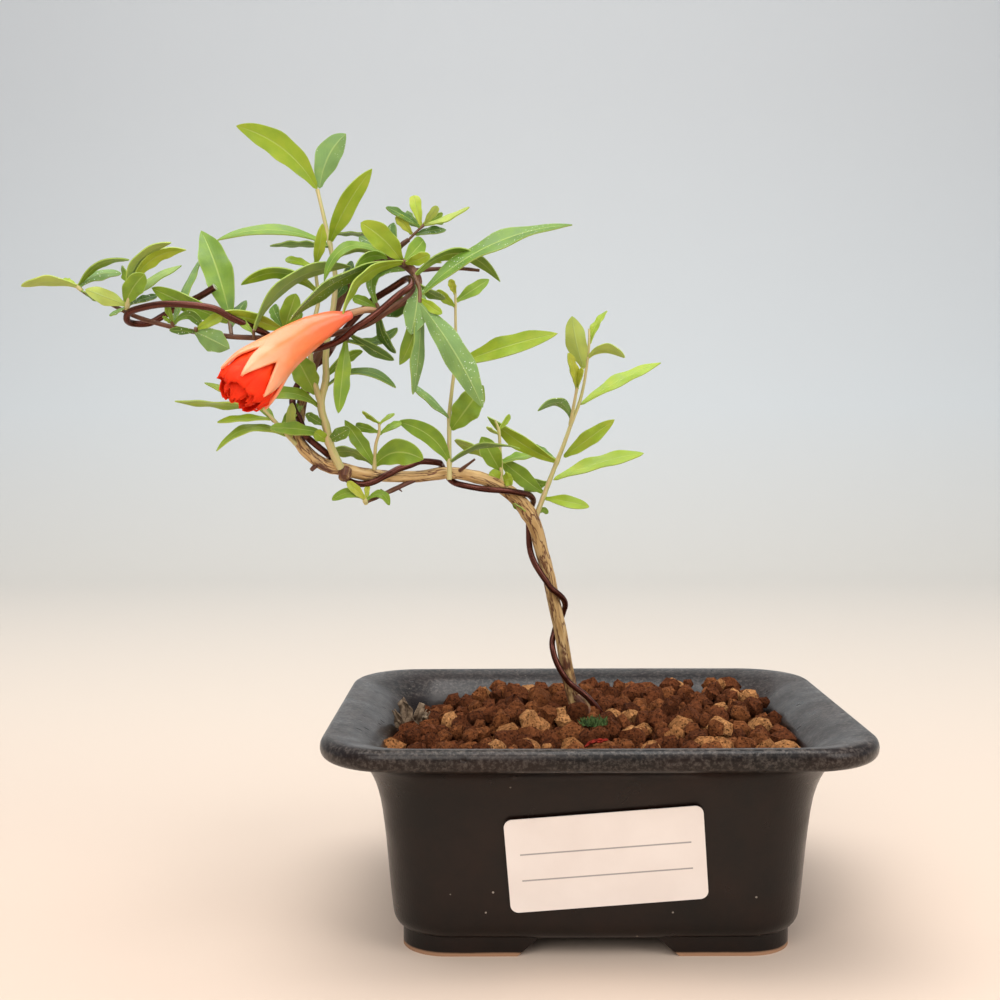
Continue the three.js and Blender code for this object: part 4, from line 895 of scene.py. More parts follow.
draw = random.Random(77)
moss = []
for _ in range(MOSS_BLADES):
    turn, away = draw.uniform(0, 2 * math.pi), MOSS_SPREAD * draw.random() ** 0.6
    foot = Vector(MOSS_SPOT) + Vector((math.cos(turn), math.sin(turn), 0)) * away
    reach = Vector((draw.uniform(-1, 1), draw.uniform(-1, 1), draw.uniform(0.9, 2.2)))
    path = [pot_middle + (foot + reach * share) * MM for share in (0, 0.5, 1)]
    moss.append(tube("moss", smooth_path(path, 3), np.linspace(0.34, 0.08, 4) * MM, 5))
weed = [crumpled_sheet(*row) for row in WITHERED]
scrap = [crumpled_sheet(*SCRAP)]
for pieces, (name, dark, light) in zip((moss, weed, scrap), (
    ("moss_green", (0.02, 0.04, 0.014), (0.08, 0.13, 0.035)),
    ("withered_weed", (0.07, 0.045, 0.03), (0.26, 0.19, 0.125)),
    ("fallen_petal", (0.12, 0.01, 0.006), (0.33, 0.024, 0.012)),
)):
    made = litter_material(name, dark, light)
    for piece in pieces:
        piece.data.materials.append(made)
join("granular_soil", *moss, *weed, *scrap, soil)

# ---------------------------------------------------------------- leafy shoots
# Soft pale stems with pairs of thin entire leaves, each folded a little along its midrib and
# waved at its edges. They grow from buds on the wood: long young shoots and short leafy spurs.

# How far a leaf is from the darkest green to yellow; a leaf that shows its underside is below 0. The
# palest underside tone also paints the glow of light shining through a thin leaf from behind.
GOLD, FRESH, LEAF, GREEN, DEEP = 0.95, 0.72, 0.5, 0.3, 0.08
BLUE, PALE_LIT_THROUGH = -0.3, -0.85
YOUNG, MATURE = "young_leaf", "mature_leaf"

# name, slot, stems as end radii and (u, v, y) points, and leaves as u, v of the base and of the
# tip, width, depth from base to tip, bow of the midrib to the left, and tone.
SHOOTS = [
    ("shoot_right_tall", YOUNG, [
        ((0.8, 0.32), [
            (-16, 113.5, 1), (-13, 121.5, 0), (-10.5, 128, -1), (-7.5, 135.5, -3), (-5, 142.5, -4),
            (-3, 147.5, -5), (-1.5, 153.5, -6), (0, 165.5, -8), (0, 169.5, -8),
        ]),
        ((0.6, 0.4), [(-5.5, 141.5, -4), (-3.5, 152.5, -9)]),
    ], [
        (-1.5, 158, -5, 173, 6, -4, 0.4, PALE_LIT_THROUGH), (0, 165, 5, 175, 2.2, 4, 0.4, FRESH),
        (-0.5, 161, 10.5, 161, 2.5, -5, 3, PALE_LIT_THROUGH), (-2.5, 147.5, 21, 159.5, 4, 7, 0, FRESH),
        (-7.5, 132, 7.5, 143, 4.5, -8, 0, FRESH), (-10.5, 125.5, 16, 133.5, 4, 5, 0, FRESH),
        (-13, 120, 0, 117.5, 3.5, -6, 0, FRESH), (-15.5, 114.5, -12, 115.5, 1.5, 3, 1.5, LEAF),
        (-5, 143, -15, 145.3, 2.6, -7, -4.4, BLUE), (-9.5, 130.5, -30, 143.5, 4.5, -6, 0, FRESH),
        (-13.5, 121.5, -26, 131.5, 5, -3, 0, LEAF), (-12, 124.5, -19.5, 123.5, 4.5, 9, 0, LEAF),
        (-16, 114, -22.5, 118.5, 1.5, -6, 0, LEAF), (-3.5, 152, -6, 162.5, 2.5, -7, 0, GOLD),
        (-3.5, 152, -2, 158, 1.5, -4, 0, GOLD), (-9.5, 131, -16.5, 135.5, 2.5, 4, 0, BLUE),
    ]),
    ("shoot_right_low", YOUNG, [
        ((0.7, 0.3), [(-25.5, 122.5, -7), (-26, 131, -9), (-26.5, 140, -10), (-27.5, 143, -10)]),
    ], [
        (-26, 128, -31.5, 138, 5.5, -5, 0, LEAF), (-26, 125, -29, 127.5, 4, -3, 0, FRESH),
        (-25.5, 125, -22.5, 126, 4, -2, 0, FRESH), (-26, 132, -39.5, 137, 2.5, 7, 0, FRESH),
        (-26, 130.5, -13.5, 133, 2.5, 16, 0, LEAF), (-26.5, 140, -23, 144.5, 1.5, 2, 0, FRESH),
        (-26.5, 139, -30, 141, 1, -3, 0, PALE_LIT_THROUGH),
    ]),
    ("shoot_mid", YOUNG, [
        ((0.72, 0.32), [
            (-41, 125.5, -20), (-41, 130, -19.5), (-41, 140, -19), (-41, 144, -19), (-40, 153, -21),
            (-39, 161.5, -22), (-39, 169, -23), (-39, 175, -23), (-39, 180.5, -23),
        ]),
    ], [
        (-40.5, 140, -31, 153, 7.5, -5, 0, LEAF), (-41, 143.5, -52, 153, 2, -7, 0, BLUE),
        (-41, 130.5, -56, 142.5, 5, -6, -2.5, LEAF), (-41, 130.5, -20.2, 134.6, 1.1, -7, 3, BLUE),
        (-39, 159, -9.5, 168.5, 5, -10, 0, FRESH), (-39, 177.5, -29, 184, 3.5, 4, 0, LEAF),
        (-39, 176, -44.5, 180.5, 2.5, -4, 0, FRESH), (-39, 179.5, -40.5, 184, 2, -2, 0, GOLD),
    ]),
    ("shoot_mid_low", YOUNG, [
        ((0.55, 0.3), [
            (-63, 128.5, -26.5), (-62.5, 136, -29), (-61.5, 139.5, -30), (-61.5, 142, -30),
        ]),
    ], [
        (-61.5, 142, -66.5, 145.5, 1, -3, 0, FRESH), (-61.5, 142, -57, 145, 1, 2, 0, FRESH),
        (-61.5, 139.5, -68.5, 141.5, 2.5, 5, 0, LEAF), (-61.5, 139, -55, 142.5, 2, 4, 0, LEAF),
        (-63, 129.5, -48.5, 131.5, 7, -6, 3, LEAF), (-63, 130, -71.5, 143, 4, -4, 0, LEAF),
        (-63, 129.5, -77, 132.5, 3, 6, -3, LEAF),
    ]),
    ("shoot_tall", YOUNG, [
        ((1.2, 0.5), [
            (-73, 129, -31), (-76, 136, -34), (-77, 141, -35.5), (-78.5, 147.5, -37),
            (-77, 155, -37.5), (-77, 161, -38), (-76, 169.5, -38.5), (-74.5, 177, -38),
            (-74, 184.5, -37), (-75, 191.5, -36), (-76.5, 199, -35), (-79, 210, -34),
        ]),
        ((0.85, 0.4), [
            (-78.5, 147.5, -37), (-80.5, 155, -39), (-81.5, 162, -40.5), (-80.5, 171, -40),
            (-79, 178, -39), (-79.5, 184, -39), (-80, 188.5, -39),
        ]),
    ], [
        (-80, 150.5, -86, 162, 6.5, -4, 0, LEAF), (-77, 153, -56.5, 152.8, 2.2, -4, 3.6, GREEN),
        (-77, 155.5, -66, 163, 2.5, 4, 1.5, LEAF), (-76.5, 137, -70.5, 140.5, 3.5, -5, 0, GREEN),
        (-76.5, 137, -80.5, 139.5, 3, -4, 0, FRESH), (-77.5, 141.5, -83, 145, 2.5, -3, 0, GREEN),
        (-79, 147, -96, 149.5, 3.5, -5, -2, LEAF), (-77, 139, -93.5, 141, 3, -9, 0, LEAF),
        (-79, 210, -102.5, 228.4, 6.6, -7, -2.9, FRESH), (-78.5, 210.3, -70.5, 226, 6.8, 6, 1.8, BLUE),
        (-75.5, 194.5, -63, 216, 5.2, -9, 1.3, FRESH), (-75.8, 194.2, -108.3, 196.1, 2.2, -7, -2.4, 0.42),
        (-75.6, 193.6, -93, 193.7, 1.3, -3, -0.8, BLUE), (-76, 196.8, -63.5, 196.3, 1, 4, 0.8, GREEN),
        (-74.5, 188, -63, 191.5, 1.5, 5, 3, LEAF), (-79.8, 188, -77.5, 200.2, 3, -4, 0, 0.85),
        (-80, 187.5, -88.5, 190, 2, 3, 0, FRESH), (-79, 180, -101.5, 182, 3, -5, -5, 0.58),
        (-74.5, 178, -69, 189, 3.5, 12, 0, DEEP),
    ]),
    ("shoot_crown_centre", MATURE, [
        ((1, 1), [(-59, 191, -41.5), (-56, 190, -43), (-53.5, 188.5, -46)]),
    ], [
        (-59, 191, -77.5, 184, 2.6, -5, -5.2, 0.4), (-58.5, 190, -68, 187.5, 2.5, -6, -2, LEAF),
        (-59, 191, -67, 196.5, 2.5, 6, 0, DEEP), (-54.5, 189, -66.5, 200.5, 5.8, -7, -1, FRESH),
        (-54, 189, -87, 171.5, 3.8, -11, -4.6, 0.33), (-53.5, 188.8, -71.5, 173.8, 2.2, -10, -4.6, FRESH),
        (-54, 189, -48, 195.5, 4.5, 5, 0, LEAF), (-53.5, 188.5, -46.5, 191, 3, -5, 0, FRESH),
        (-55, 189.5, -43, 188.5, 1, 8, 1, FRESH), (-56.5, 190, -58, 200.5, 3.5, 12, 0, DEEP),
    ]),
    ("shoot_crown_top", MATURE, [
        ((0.6, 0.4), [(-53.3, 194.6, -38), (-50, 198, -38), (-47, 200.5, -38)]),
    ], [
        (-49, 199, -59, 205, 2, -4, 0, DEEP), (-49, 199.5, -51, 208.2, 2.8, 3, 0, 0.85),
        (-48, 200, -44, 205, 2, -4, 0, PALE_LIT_THROUGH), (-47.5, 200.5, -42.5, 203, 1.5, 4, 0, LEAF),
        (-48, 199.5, -34.8, 204.8, 1.1, -5, -0.7, PALE_LIT_THROUGH), (-47.5, 200.5, -42.5, 200.5, 1.5, 5, 0, DEEP),
        (-51.5, 197, -56, 202.5, 2.5, -3, 0, GOLD), (-50.5, 197, -41.5, 198.5, 2, 5, 0, DEEP),
        (-49, 199, -53.5, 203, 2.5, 8, 0, BLUE),
    ]),
    ("shoot_crown_right", MATURE, [
        ((1, 0.8), [(-51, 185, -46.5), (-49.5, 181, -49), (-49.5, 177, -50.5)]),
    ], [
        (-49.3, 179.4, -5, 200.2, 3.4, 8, 2.9, GREEN), (-51, 184.5, -26, 183, 2.4, 6, 7.4, 0.42),
        (-49.5, 177, -31, 146.6, 6.6, -9, 1.2, BLUE), (-50, 182.5, -52, 168, 6, -5, 0.5, BLUE),
        (-49.5, 177, -52, 150.5, 3, -3, 0, BLUE), (-49.5, 177.5, -55.5, 159, 4.5, 3, 1, LEAF),
        (-49.5, 178.5, -60.5, 174, 4.5, 5, 0, DEEP), (-49.5, 178.5, -43, 174, 2.5, -4, 0, FRESH),
        (-50, 182.5, -42, 178, 2.5, 9, 0, GREEN),
    ]),
    ("spur_branch_middle", MATURE, [
        ((0.9, 0.7), [(-61, 174.5, -48), (-62, 177, -47)]),
    ], [
        (-62, 176.5, -53.5, 186.5, 3.5, 2, 5.5, GREEN),
        (-61.5, 175, -56.5, 162.5, 2.5, 4, -1, DEEP), (-61.5, 175.5, -69, 179, 2.5, 5, 0, LEAF),
    ]),
    ("spur_branch_inner", MATURE, [
        ((0.9, 0.7), [(-69.5, 169, -47), (-71, 166.5, -46)]),
    ], [
        (-70, 168, -57, 160.5, 2.5, 3, 0, DEEP), (-71, 166.5, -73.5, 145, 4, -3, -0.5, LEAF),
        (-71, 166.5, -56, 170, 2, 5, -2.5, GREEN),
    ]),
    ("spur_behind_flower", MATURE, [
        ((0.8, 0.6), [(-89, 166.5, -44), (-89, 169.5, -42)]),
    ], [
        (-89, 169.5, -85.5, 180, 5, -3, 0, LEAF), (-89, 169, -109, 174, 4, -6, -1.5, FRESH),
        (-89, 169, -84, 175, 3, 5, 0, LEAF), (-89, 169.5, -92.5, 176.5, 2.5, 7, 0, GREEN),
    ]),
    ("spur_long_leaf", MATURE, [
        ((0.6, 0.5), [(-98, 167, -47), (-98, 169.5, -49.5)]),
    ], [
        (-98.3, 168.6, -69.5, 188, 3, 9, 6.4, -0.5), (-98, 168.5, -103, 173, 2, 2, 0, LEAF),
    ]),
    ("spur_upright", MATURE, [
        ((0.9, 0.8), [(-104.5, 168, -43.5), (-105, 172, -38.5)]),
    ], [
        (-104.6, 172, -113.2, 198.8, 8, 13, -0.9, 0.37), (-105, 171.5, -128, 181.5, 4.5, -1, -0.5, LEAF),
        (-105, 170, -100, 178, 2.5, 8, 0, DEEP),
    ]),
    ("spur_left_middle", MATURE, [
        ((0.8, 0.7), [(-114.5, 169, -44.5), (-115, 170, -46.5)]),
    ], [
        (-115, 169, -105, 164, 6, -3, 0, BLUE), (-115, 169.5, -107.5, 173.5, 2.5, -1, 0, FRESH),
        (-115, 169, -122.5, 169.5, 2, -5, 0, DEEP),
    ]),
    ("spur_left_outer", MATURE, [
        ((0.6, 0.5), [(-121.5, 170.5, -43.5), (-122, 172, -44.5)]),
    ], [
        (-121.5, 171, -113, 170, 2.5, 0, 3, GREEN), (-121.5, 171.5, -123.5, 177, 1.5, -3, 0, LEAF),
        (-121.5, 171, -124.5, 173.5, 1, -2, 0, LEAF), (-121.5, 171, -113, 190.5, 2, 18, 0, BLUE),
    ]),
    ("shoot_tip_up", YOUNG, [
        ((0.55, 0.4), [(-135, 175.5, -40), (-134.5, 178, -41), (-133, 183, -42)]),
    ], [
        (-135.2, 176.8, -147, 181.3, 4.2, -4, 0, PALE_LIT_THROUGH), (-135.2, 176.8, -129.6, 185.7, 5, -4, 0.8, LEAF),
        (-134.6, 178.4, -121.7, 195, 2.8, -2, 4.6, -0.7),
        (-133.1, 182.8, -117.4, 192.6, 2.8, 4, 3.2, 0.85), (-134.3, 178.6, -118.8, 188, 2, 7, 0.5, -0.5),
        (-134.5, 177, -126, 179.5, 1.5, 5, 0, DEEP), (-135, 176, -140, 173.5, 1, -2, 0, BLUE),
        (-133.5, 182.5, -136.5, 188, 2, 6, 0, LEAF),
    ]),
    ("shoot_tip", YOUNG, [
        ((0.5, 0.4), [(-148, 181, -36), (-149.5, 182.5, -35.5)]),
    ], [
        (-149, 182.2, -165.8, 182.3, 2.2, -3, -1.8, PALE_LIT_THROUGH), (-148.9, 182, -134, 189.5, 1.5, -4, 3, LEAF),
        (-148.5, 181, -140.5, 177.5, 1.5, -3, 0, GREEN),
        (-148.8, 182, -136.5, 186, 2.2, 4, 1, BLUE), (-149.4, 182.5, -154, 184.4, 1.4, 4, 0, FRESH),
    ]),
    ("shoot_lower_left", YOUNG, [
        ((0.6, 0.4), [(-86, 136, -36), (-90, 140.5, -39), (-95.5, 146.5, -41)]),
    ], [
        (-95.5, 146.7, -121.4, 148.2, 1.4, -4, -0.5, 0.6), (-95, 146, -112.5, 154.5, 2.5, 4, 0, FRESH),
        (-93, 143.5, -109, 143, 2, -4, 0, FRESH), (-88.5, 138.5, -109.5, 134.5, 2, -5, -3.5, FRESH),
        (-87.5, 138, -87, 148, 2.5, -3, 0, PALE_LIT_THROUGH), (-90.5, 141, -83.5, 148.5, 2.5, 5, 0, LEAF),
        (-92, 142.5, -99.5, 150, 2.5, 6, 0, LEAF),
    ]),
    ("shoot_twig_end", YOUNG, [
        ((0.55, 0.45), [(-65.5, 118.5, -29), (-66, 120, -30)]),
    ], [
        (-65.5, 119.5, -71, 125, 2.5, -3, 0, GOLD), (-65.5, 119.5, -65, 124.5, 1.5, 2, 0, GOLD),
        (-65.5, 119.5, -75.5, 119.5, 2.5, -3, -2, LEAF),
        (-65.5, 119.5, -58.5, 118, 2.5, 3, 2.5, LEAF),
    ]),
]
LEAF_ROWS, LEAF_COLUMNS, LEAF_THICKNESS = 22, 6, 0.34 * MM
LEAF_KINDS = [(9, 0.55), (18, 0.78), (99, 0.9)]  # up to this length; power of the tip's taper
LEAF_ARCH, LEAF_ROLL, FULL_WIDTH = 0.06, 40, (0.15, 1.5)  # width as a share of length, plus mm
STALK_HALF_WIDTH, STALK_END = 0.45 * MM, 0.12  # a share of the leaf's length
FOLDS, WAVES, WAVE_COUNTS, CURLS = (0.12, 0.34), (0.05, 0.16), (1.6, 3.4), (-0.02, 0.05)
TWISTS, BLUNTNESS = (-0.35, 0.35), (-0.2, 0.12)
NODE_SWELL, NODE_REACH = 0.12, 0.9 * MM  # of a stem where a leaf stands on it
STEM_SIDES_FINE, SPUR_SLIMNESS = 10, 0.6


def number_stream(seed):
    """A seeded stream of numbers from 0 to 1."""
    state = seed
    while True:
        state = (state * 1664525 + 1013904223) % 4294967296
        yield state / 4294967296


def leaf_pattern(taper):
    """A flat leaf blade: x from 0 to 1 along the midrib, y across in half widths."""
    pick_only()
    bpy.ops.mesh.primitive_grid_add(
        x_subdivisions=LEAF_ROWS, y_subdivisions=LEAF_COLUMNS, size=1, location=(0.5, 0, 0)
    )
    blade = bpy.context.object
    apply_at_origin(blade)
    peak = 1 / (1 + taper)
    full = peak * (1 - peak) ** taper
    for vertex in blade.data.vertices:
        s = (1 - math.cos(math.pi * min(max(vertex.co.x, 0), 1))) / 2 * 0.35 + vertex.co.x * 0.65
        vertex.co.x = min(max(s, 0), 1)
        vertex.co.y *= 2 * max(vertex.co.x * (1 - vertex.co.x) ** taper / full, 0)
    return blade


def stem_depth(stems, u, v):
    """The depth of the stems where they pass nearest to (u, v)."""
    best = (math.inf, 0)
    for _, path in stems:
        for (u0, v0, y0), (u1, v1, y1) in zip(path, path[1:]):
            du, dv = u1 - u0, v1 - v0
            t = min(max(((u - u0) * du + (v - v0) * dv) / (du * du + dv * dv), 0), 1)
            away = math.hypot(u0 + t * du - u, v0 + t * dv - v)
            best = min(best, (away, y0 + t * (y1 - y0)))
    return best[1]


def lay_leaf(pattern, row, stems, roll, draw):
    """A copy of the pattern between its base and tip, bent, rolled, folded and waved."""
    u, v, tip_u, tip_v, width, dy, bow, tone = row
    y = stem_depth(stems, u, v)
    base, tip = at(u, v, y), at(tip_u, tip_v, y + dy)
    along = (tip - base).normalized()
    length = (tip - base).length
    view = ((base + tip) / 2 - eye).normalized()
    wide = max(width, FULL_WIDTH[0] * length / MM + min(FULL_WIDTH[1], length / MM / 8))
    flat = min(width / wide, 1)  # 1 if the blade faces the camera, 0 if edge on
    lean = math.acos(flat) * draw.choice((-1, 1))
    side = Matrix.Rotation(roll * 0.6 * flat + lean, 3, along) @ along.cross(view).normalized()
    face = side.cross(along).normalized()
    if face.dot(view) > 0:
        face.negate()
    left = Vector((-along.z, 0, along.x)).normalized()
    fold, wave = draw.uniform(*FOLDS), draw.uniform(*WAVES)
    waves, phase, curl = draw.uniform(*WAVE_COUNTS), draw.uniform(0, 6.28), draw.uniform(*CURLS)

    def midrib(s):
        arch = LEAF_ARCH * length * 4 * s * (1 - s) - curl * length * s ** 3
        return base.lerp(tip, s) + left * bow * MM * 4 * s * (1 - s) + face * arch * flat

    leaf = add_object("leaf", pattern.data.copy())
    twist = draw.uniform(*TWISTS) * flat
    blunt = draw.uniform(*BLUNTNESS)
    for vertex in leaf.data.vertices:
        s, t, _ = vertex.co
        ahead = (midrib(s + 0.01) - midrib(s - 0.01)).normalized()
        up = Matrix.Rotation(twist * (s - 0.5), 3, ahead) @ face
        if tone < 0:
            up.negate()
        up = (up - ahead * up.dot(ahead)).normalized()
        across = up.cross(ahead)
        half = wide / 2 * MM
        hand = 1 if t > 0 else -1
        edge = t * t * math.sin(waves * 6.28 * s + phase + hand * 1.1)
        fuller = max(1 - s, 0.001) ** blunt if s > 0.5 else 0.5 ** blunt
        spread = half * t * (1 + 0.05 * edge) * min(fuller / 0.5 ** blunt, 1.5)
        rise = half * (fold * abs(t) * (1 - 0.5 * s) + wave * edge * 1.6) * (0.3 + 0.7 * flat)
        if abs(t) > 1e-6:
            spread += hand * STALK_HALF_WIDTH * max(0, 1 - s / STALK_END)
        vertex.co = midrib(s) + across * spread + up * rise
    colour_code(leaf, "tone", abs(tone))
    return leaf


def leaf_material(name, stops, vein, gloss, relief_depth, veins_shown):
    """A blade's skin: tone, veins from the UV map, fine mottling and a soft waxy shine."""
    material, tree, shader = new_material(
        name, Subsurface_Weight=0.18, Subsurface_Scale=0.5 * MM, Specular_IOR_Level=0.3,
        Subsurface_Radius=(0.8, 1.0, 0.2),
    )
    tone = stored(tree, "tone")
    place = place_on(tree)
    uv = split(add_node(tree, "UVMap").outputs["UV"])
    from_rib = away_from(uv["Y"], 0.5)
    mottle = noise_of(place, 260, 4)
    colour = ramp(plus(tone, times(minus(mottle, 0.5), 0.5)), stops)
    rib = ramp(from_rib, [(0.012, 1.0), (0.045, 0.0)])
    slant = minus(times(uv["X"], 11), times(from_rib, 9))
    rays = ramp(away_from(sums("FRACT", slant), 0.5), [(0.0, 1.0), (0.09, 0.0)])
    lines = larger(rib, times(rays, veins_shown))
    colour = blend(times(lines, 0.6), colour, vein)
    colour = blend(ramp(from_rib, [(0.455, 0.0), (0.5, 0.5)]), colour, vein)
    spotted = specks_on(place, 190, 0.07, 0.86)
    colour = blend(times(spotted, 0.7), colour, (0.16, 0.10, 0.03))
    dusty = specks_on(place, 1700, 0.22, 0.55)
    settled = times(rising(noise_of(place, 120, 2), 0.42, 0.55), below(tone, 0.35))
    colour = blend(times(dusty, settled), colour, (0.62, 0.68, 0.55))
    dull = ramp(mottle, [(0.3, gloss), (0.7, gloss + 0.14)])
    relief = bump(noise_of(place, 900, 3), 0.00006, 0.6, bump(lines, relief_depth, 0.7))
    feed(shader, Base_Color=colour, Roughness=dull, Normal=relief)
    return material


upper_skin = leaf_material("leaf_upper_skin", [
    (0.0, (0.055, 0.125, 0.017)), (0.3, (0.120, 0.225, 0.024)), (0.5, (0.19, 0.31, 0.024)),
    (0.72, (0.29, 0.405, 0.026)), (0.98, (0.41, 0.44, 0.045)),
], (0.40, 0.50, 0.12), 0.36, -0.00010, 0.10)
under_skin = leaf_material("leaf_underside", [
    (0.0, (0.12, 0.225, 0.065)), (0.3, (0.17, 0.29, 0.08)), (0.6, (0.29, 0.40, 0.09)),
    (0.95, (0.43, 0.50, 0.10)),
], (0.38, 0.48, 0.16), 0.5, 0.00012, 0.16)

stem_skin, tree, shader = new_material(
    "soft_stem_skin", Roughness=0.5, Subsurface_Weight=0.1, Subsurface_Scale=0.5 * MM
)
streaks = noise_of(squeezed(stored(tree, "grain", "Vector"), 0.1), 700, 3)
young = ramp(streaks, [
    (0.3, (0.33, 0.37, 0.11)), (0.5, (0.53, 0.49, 0.20)), (0.7, (0.62, 0.45, 0.25)),
])
woody = ramp(streaks, [(0.35, (0.08, 0.028, 0.013)), (0.65, (0.19, 0.09, 0.035))])
colour = blend(stored(tree, "tone"), young, woody)
feed(shader, Base_Color=colour, Normal=bump(streaks, 0.0001, 0.5))

patterns = [(limit, leaf_pattern(taper)) for limit, taper in LEAF_KINDS]
for number, (name, slot, stems, rows) in enumerate(SHOOTS):
    rolls = number_stream(100 + number)
    next(rolls)
    draw = random.Random(700 + number)
    leaves = []
    for row in rows:
        reach = math.dist(row[:2], row[2:4])
        pattern = next(blade for limit, blade in patterns if reach <= limit)
        roll = math.radians(LEAF_ROLL * (next(rolls) - 0.5))
        leaves.append(lay_leaf(pattern, row, stems, roll, draw))
    shoot = join(name + "_leaves", *leaves)
    shoot.data.materials.append(upper_skin)
    shoot.data.materials.append(under_skin)
    thicken(shoot, LEAF_THICKNESS, 1)
    bpy.ops.object.shade_smooth_by_angle(angle=math.radians(60))
    sticks = []
    slimness = SPUR_SLIMNESS if slot == MATURE else 1
    for (thick, thin), path in stems:
        points = smooth_path([at(*point) for point in path], 12 * (len(path) - 1))
        radii = np.linspace(thick, thin, len(points)) * MM * slimness
        for u, v, *_ in rows:
            node = np.array(at(u, v, stem_depth(stems, u, v)))
            away = np.linalg.norm(points - node, axis=1)
            radii *= 1 + NODE_SWELL * np.exp(-((away / NODE_REACH) ** 2))
        sticks.append(tube("stem", points, np.minimum(radii, thick * 1.5 * MM), STEM_SIDES_FINE))
        sticks[-1].data.materials.append(stem_skin)
        colour_code(sticks[-1], "tone", 1.0 if slot == MATURE else 0.0)
    join(shoot.name, *sticks, shoot)
    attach(shoot, "root")
    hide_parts(name)
for _, blade in patterns:
    bpy.data.objects.remove(blade)

# ---------------------------------------------------------------- flower calyx
# A fleshy, waxy tube on a short stalk, widening from a narrow ovary and split at its mouth into
# six pointed lobes.
FLOWER_AXIS = [(-69, 174, -53.5), (-89.5, 167.5, -58), (-103.8, 149, -66)]  # of a bent axis
FLOWER_STALK = [(-60.5, 174.2, -50), (-64.5, 175.2, -51.8), (-70.5, 174, -53.5)]
FLOWER_LENGTH, LOBES, LOBE_TURN = 41, 6, 0.65  # the turn places the first lobe, in lobes
CALYX_WALL, MOUTH = 0.8 * MM, 28
CALYX_RADII = [  # how far along, and outer radius there
    (0, 0.9), (1.2, 1.25), (2.5, 1.5), (5, 2.4), (8, 3.2), (12, 3.95), (17, 4.6), (22, 5.2),
    (25.5, 5.9), (29, 6.7), (32, 7.3), (35, 7.6), (37.5, 7.6),
]
LOBE_WIDTHS = [(28, 1.0), (28.6, 0.88), (30.7, 0.67), (33.8, 0.38), (36.4, 0.15), (37.5, 0.04)]
flower_bend = [at(*point) for point in FLOWER_AXIS]


def on_flower(x, y, along):
    """From millimetres across and along the flower to its drooping axis."""
    t = along / FLOWER_LENGTH
    start, pull, end = flower_bend
    middle = start * (1 - t) ** 2 + pull * 2 * t * (1 - t) + end * t * t
    t = min(t, 1)
    ahead = ((pull - start) * (1 - t) + (end - pull) * t).normalized()
    side = ahead.cross(Vector((0, 1, 0))).normalized()
    return middle + (side * x + ahead.cross(side) * y) * MM


def curved_sheet(name, rows, columns, shape, thickness):
    """A grid whose (s, t), s from 0 to 1 and t from -1 to 1, goes to shape(s, t), as across,
    across and along the flower; thickened inwards."""
    pick_only()
    bpy.ops.mesh.primitive_grid_add(x_subdivisions=rows, y_subdivisions=columns, size=1)
    sheet = bpy.context.object
    sheet.name = sheet.data.name = name
    held = sheet.data.attributes.new("along", "FLOAT", "POINT")
    for vertex, store in zip(sheet.data.vertices, held.data):
        x, y, along = shape(vertex.co.x + 0.5, vertex.co.y * 2)
        store.value = along / FLOWER_LENGTH
        vertex.co = on_flower(x, y, along)
    if thickness:
        thicken(sheet, thickness)
    return sheet


def calyx_strip(number):
    centre = 2 * math.pi * (number + LOBE_TURN) / LOBES

    def shape(s, t):
        along = s * CALYX_RADII[-1][0]
        radius = np.interp(along, *zip(*CALYX_RADII))
        width = np.interp(along, *zip(*LOBE_WIDTHS))
        ridge = 0.025 * math.cos(t * math.pi) * min(along / 12, 1)
        cup = 0.10 * (1 - abs(t)) * max(0, along - MOUTH) / 12
        turn = centre + t * math.pi / LOBES * width
        spot = Vector((along / 5, math.cos(turn) * 1.5, math.sin(turn) * 1.5))
        uneven = 0.05 * noise.noise(spot)
        radius *= 1 + (ridge if along < MOUTH else ridge * width) + cup * 0.5 + uneven
        return radius * math.cos(turn), radius * math.sin(turn), along

    return curved_sheet("calyx", 34, 10, shape, 0)


strips = [calyx_strip(number) for number in range(LOBES)]
calyx = join("calyx", *strips)
finish_shape(calyx, 75)
thicken(calyx, CALYX_WALL)
round_off = calyx.modifiers.new("round", "SUBSURF")
round_off.levels = round_off.render_levels = 1
pick_only(calyx)
bpy.ops.object.modifier_apply(modifier="round")
bpy.ops.object.shade_smooth()
stalk_path = smooth_path([at(*point) for point in FLOWER_STALK], 24)
stalk = tube("stalk", stalk_path, np.linspace(0.8, 0.95, 25) * MM, 14)
colour_code(stalk, "along", -0.05)
calyx = join("flower_calyx_tube", stalk, calyx)

material, tree, shader = new_material(
    "waxy_calyx", Subsurface_Weight=0.25, Subsurface_Scale=1.2 * MM, Specular_IOR_Level=0.5,
    Coat_Weight=0.15, Coat_Roughness=0.2, Subsurface_Radius=(1.0, 0.4, 0.2),
)
place = place_on(tree)
along = stored(tree, "along")
blotch = noise_of(place, 170, 4, 0.55)
colour = ramp(plus(along, times(minus(blotch, 0.5), 0.35)), [
    (0.0, (0.78, 0.13, 0.075)), (0.14, (0.86, 0.15, 0.05)), (0.4, (0.91, 0.20, 0.055)),
    (0.58, (0.92, 0.25, 0.085)), (0.8, (0.94, 0.36, 0.18)),
])
colour = blend(below(along, 0.0), colour, (0.40, 0.22, 0.11))
dull = ramp(blotch, [(0.3, 0.3), (0.7, 0.46)])
relief = bump(noise_of(place, 420, 3), 0.00022, 0.6)
feed(shader, Base_Color=colour, Roughness=dull, Normal=relief)
wear(calyx, material)
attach(calyx, "root")
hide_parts("flower_calyx")

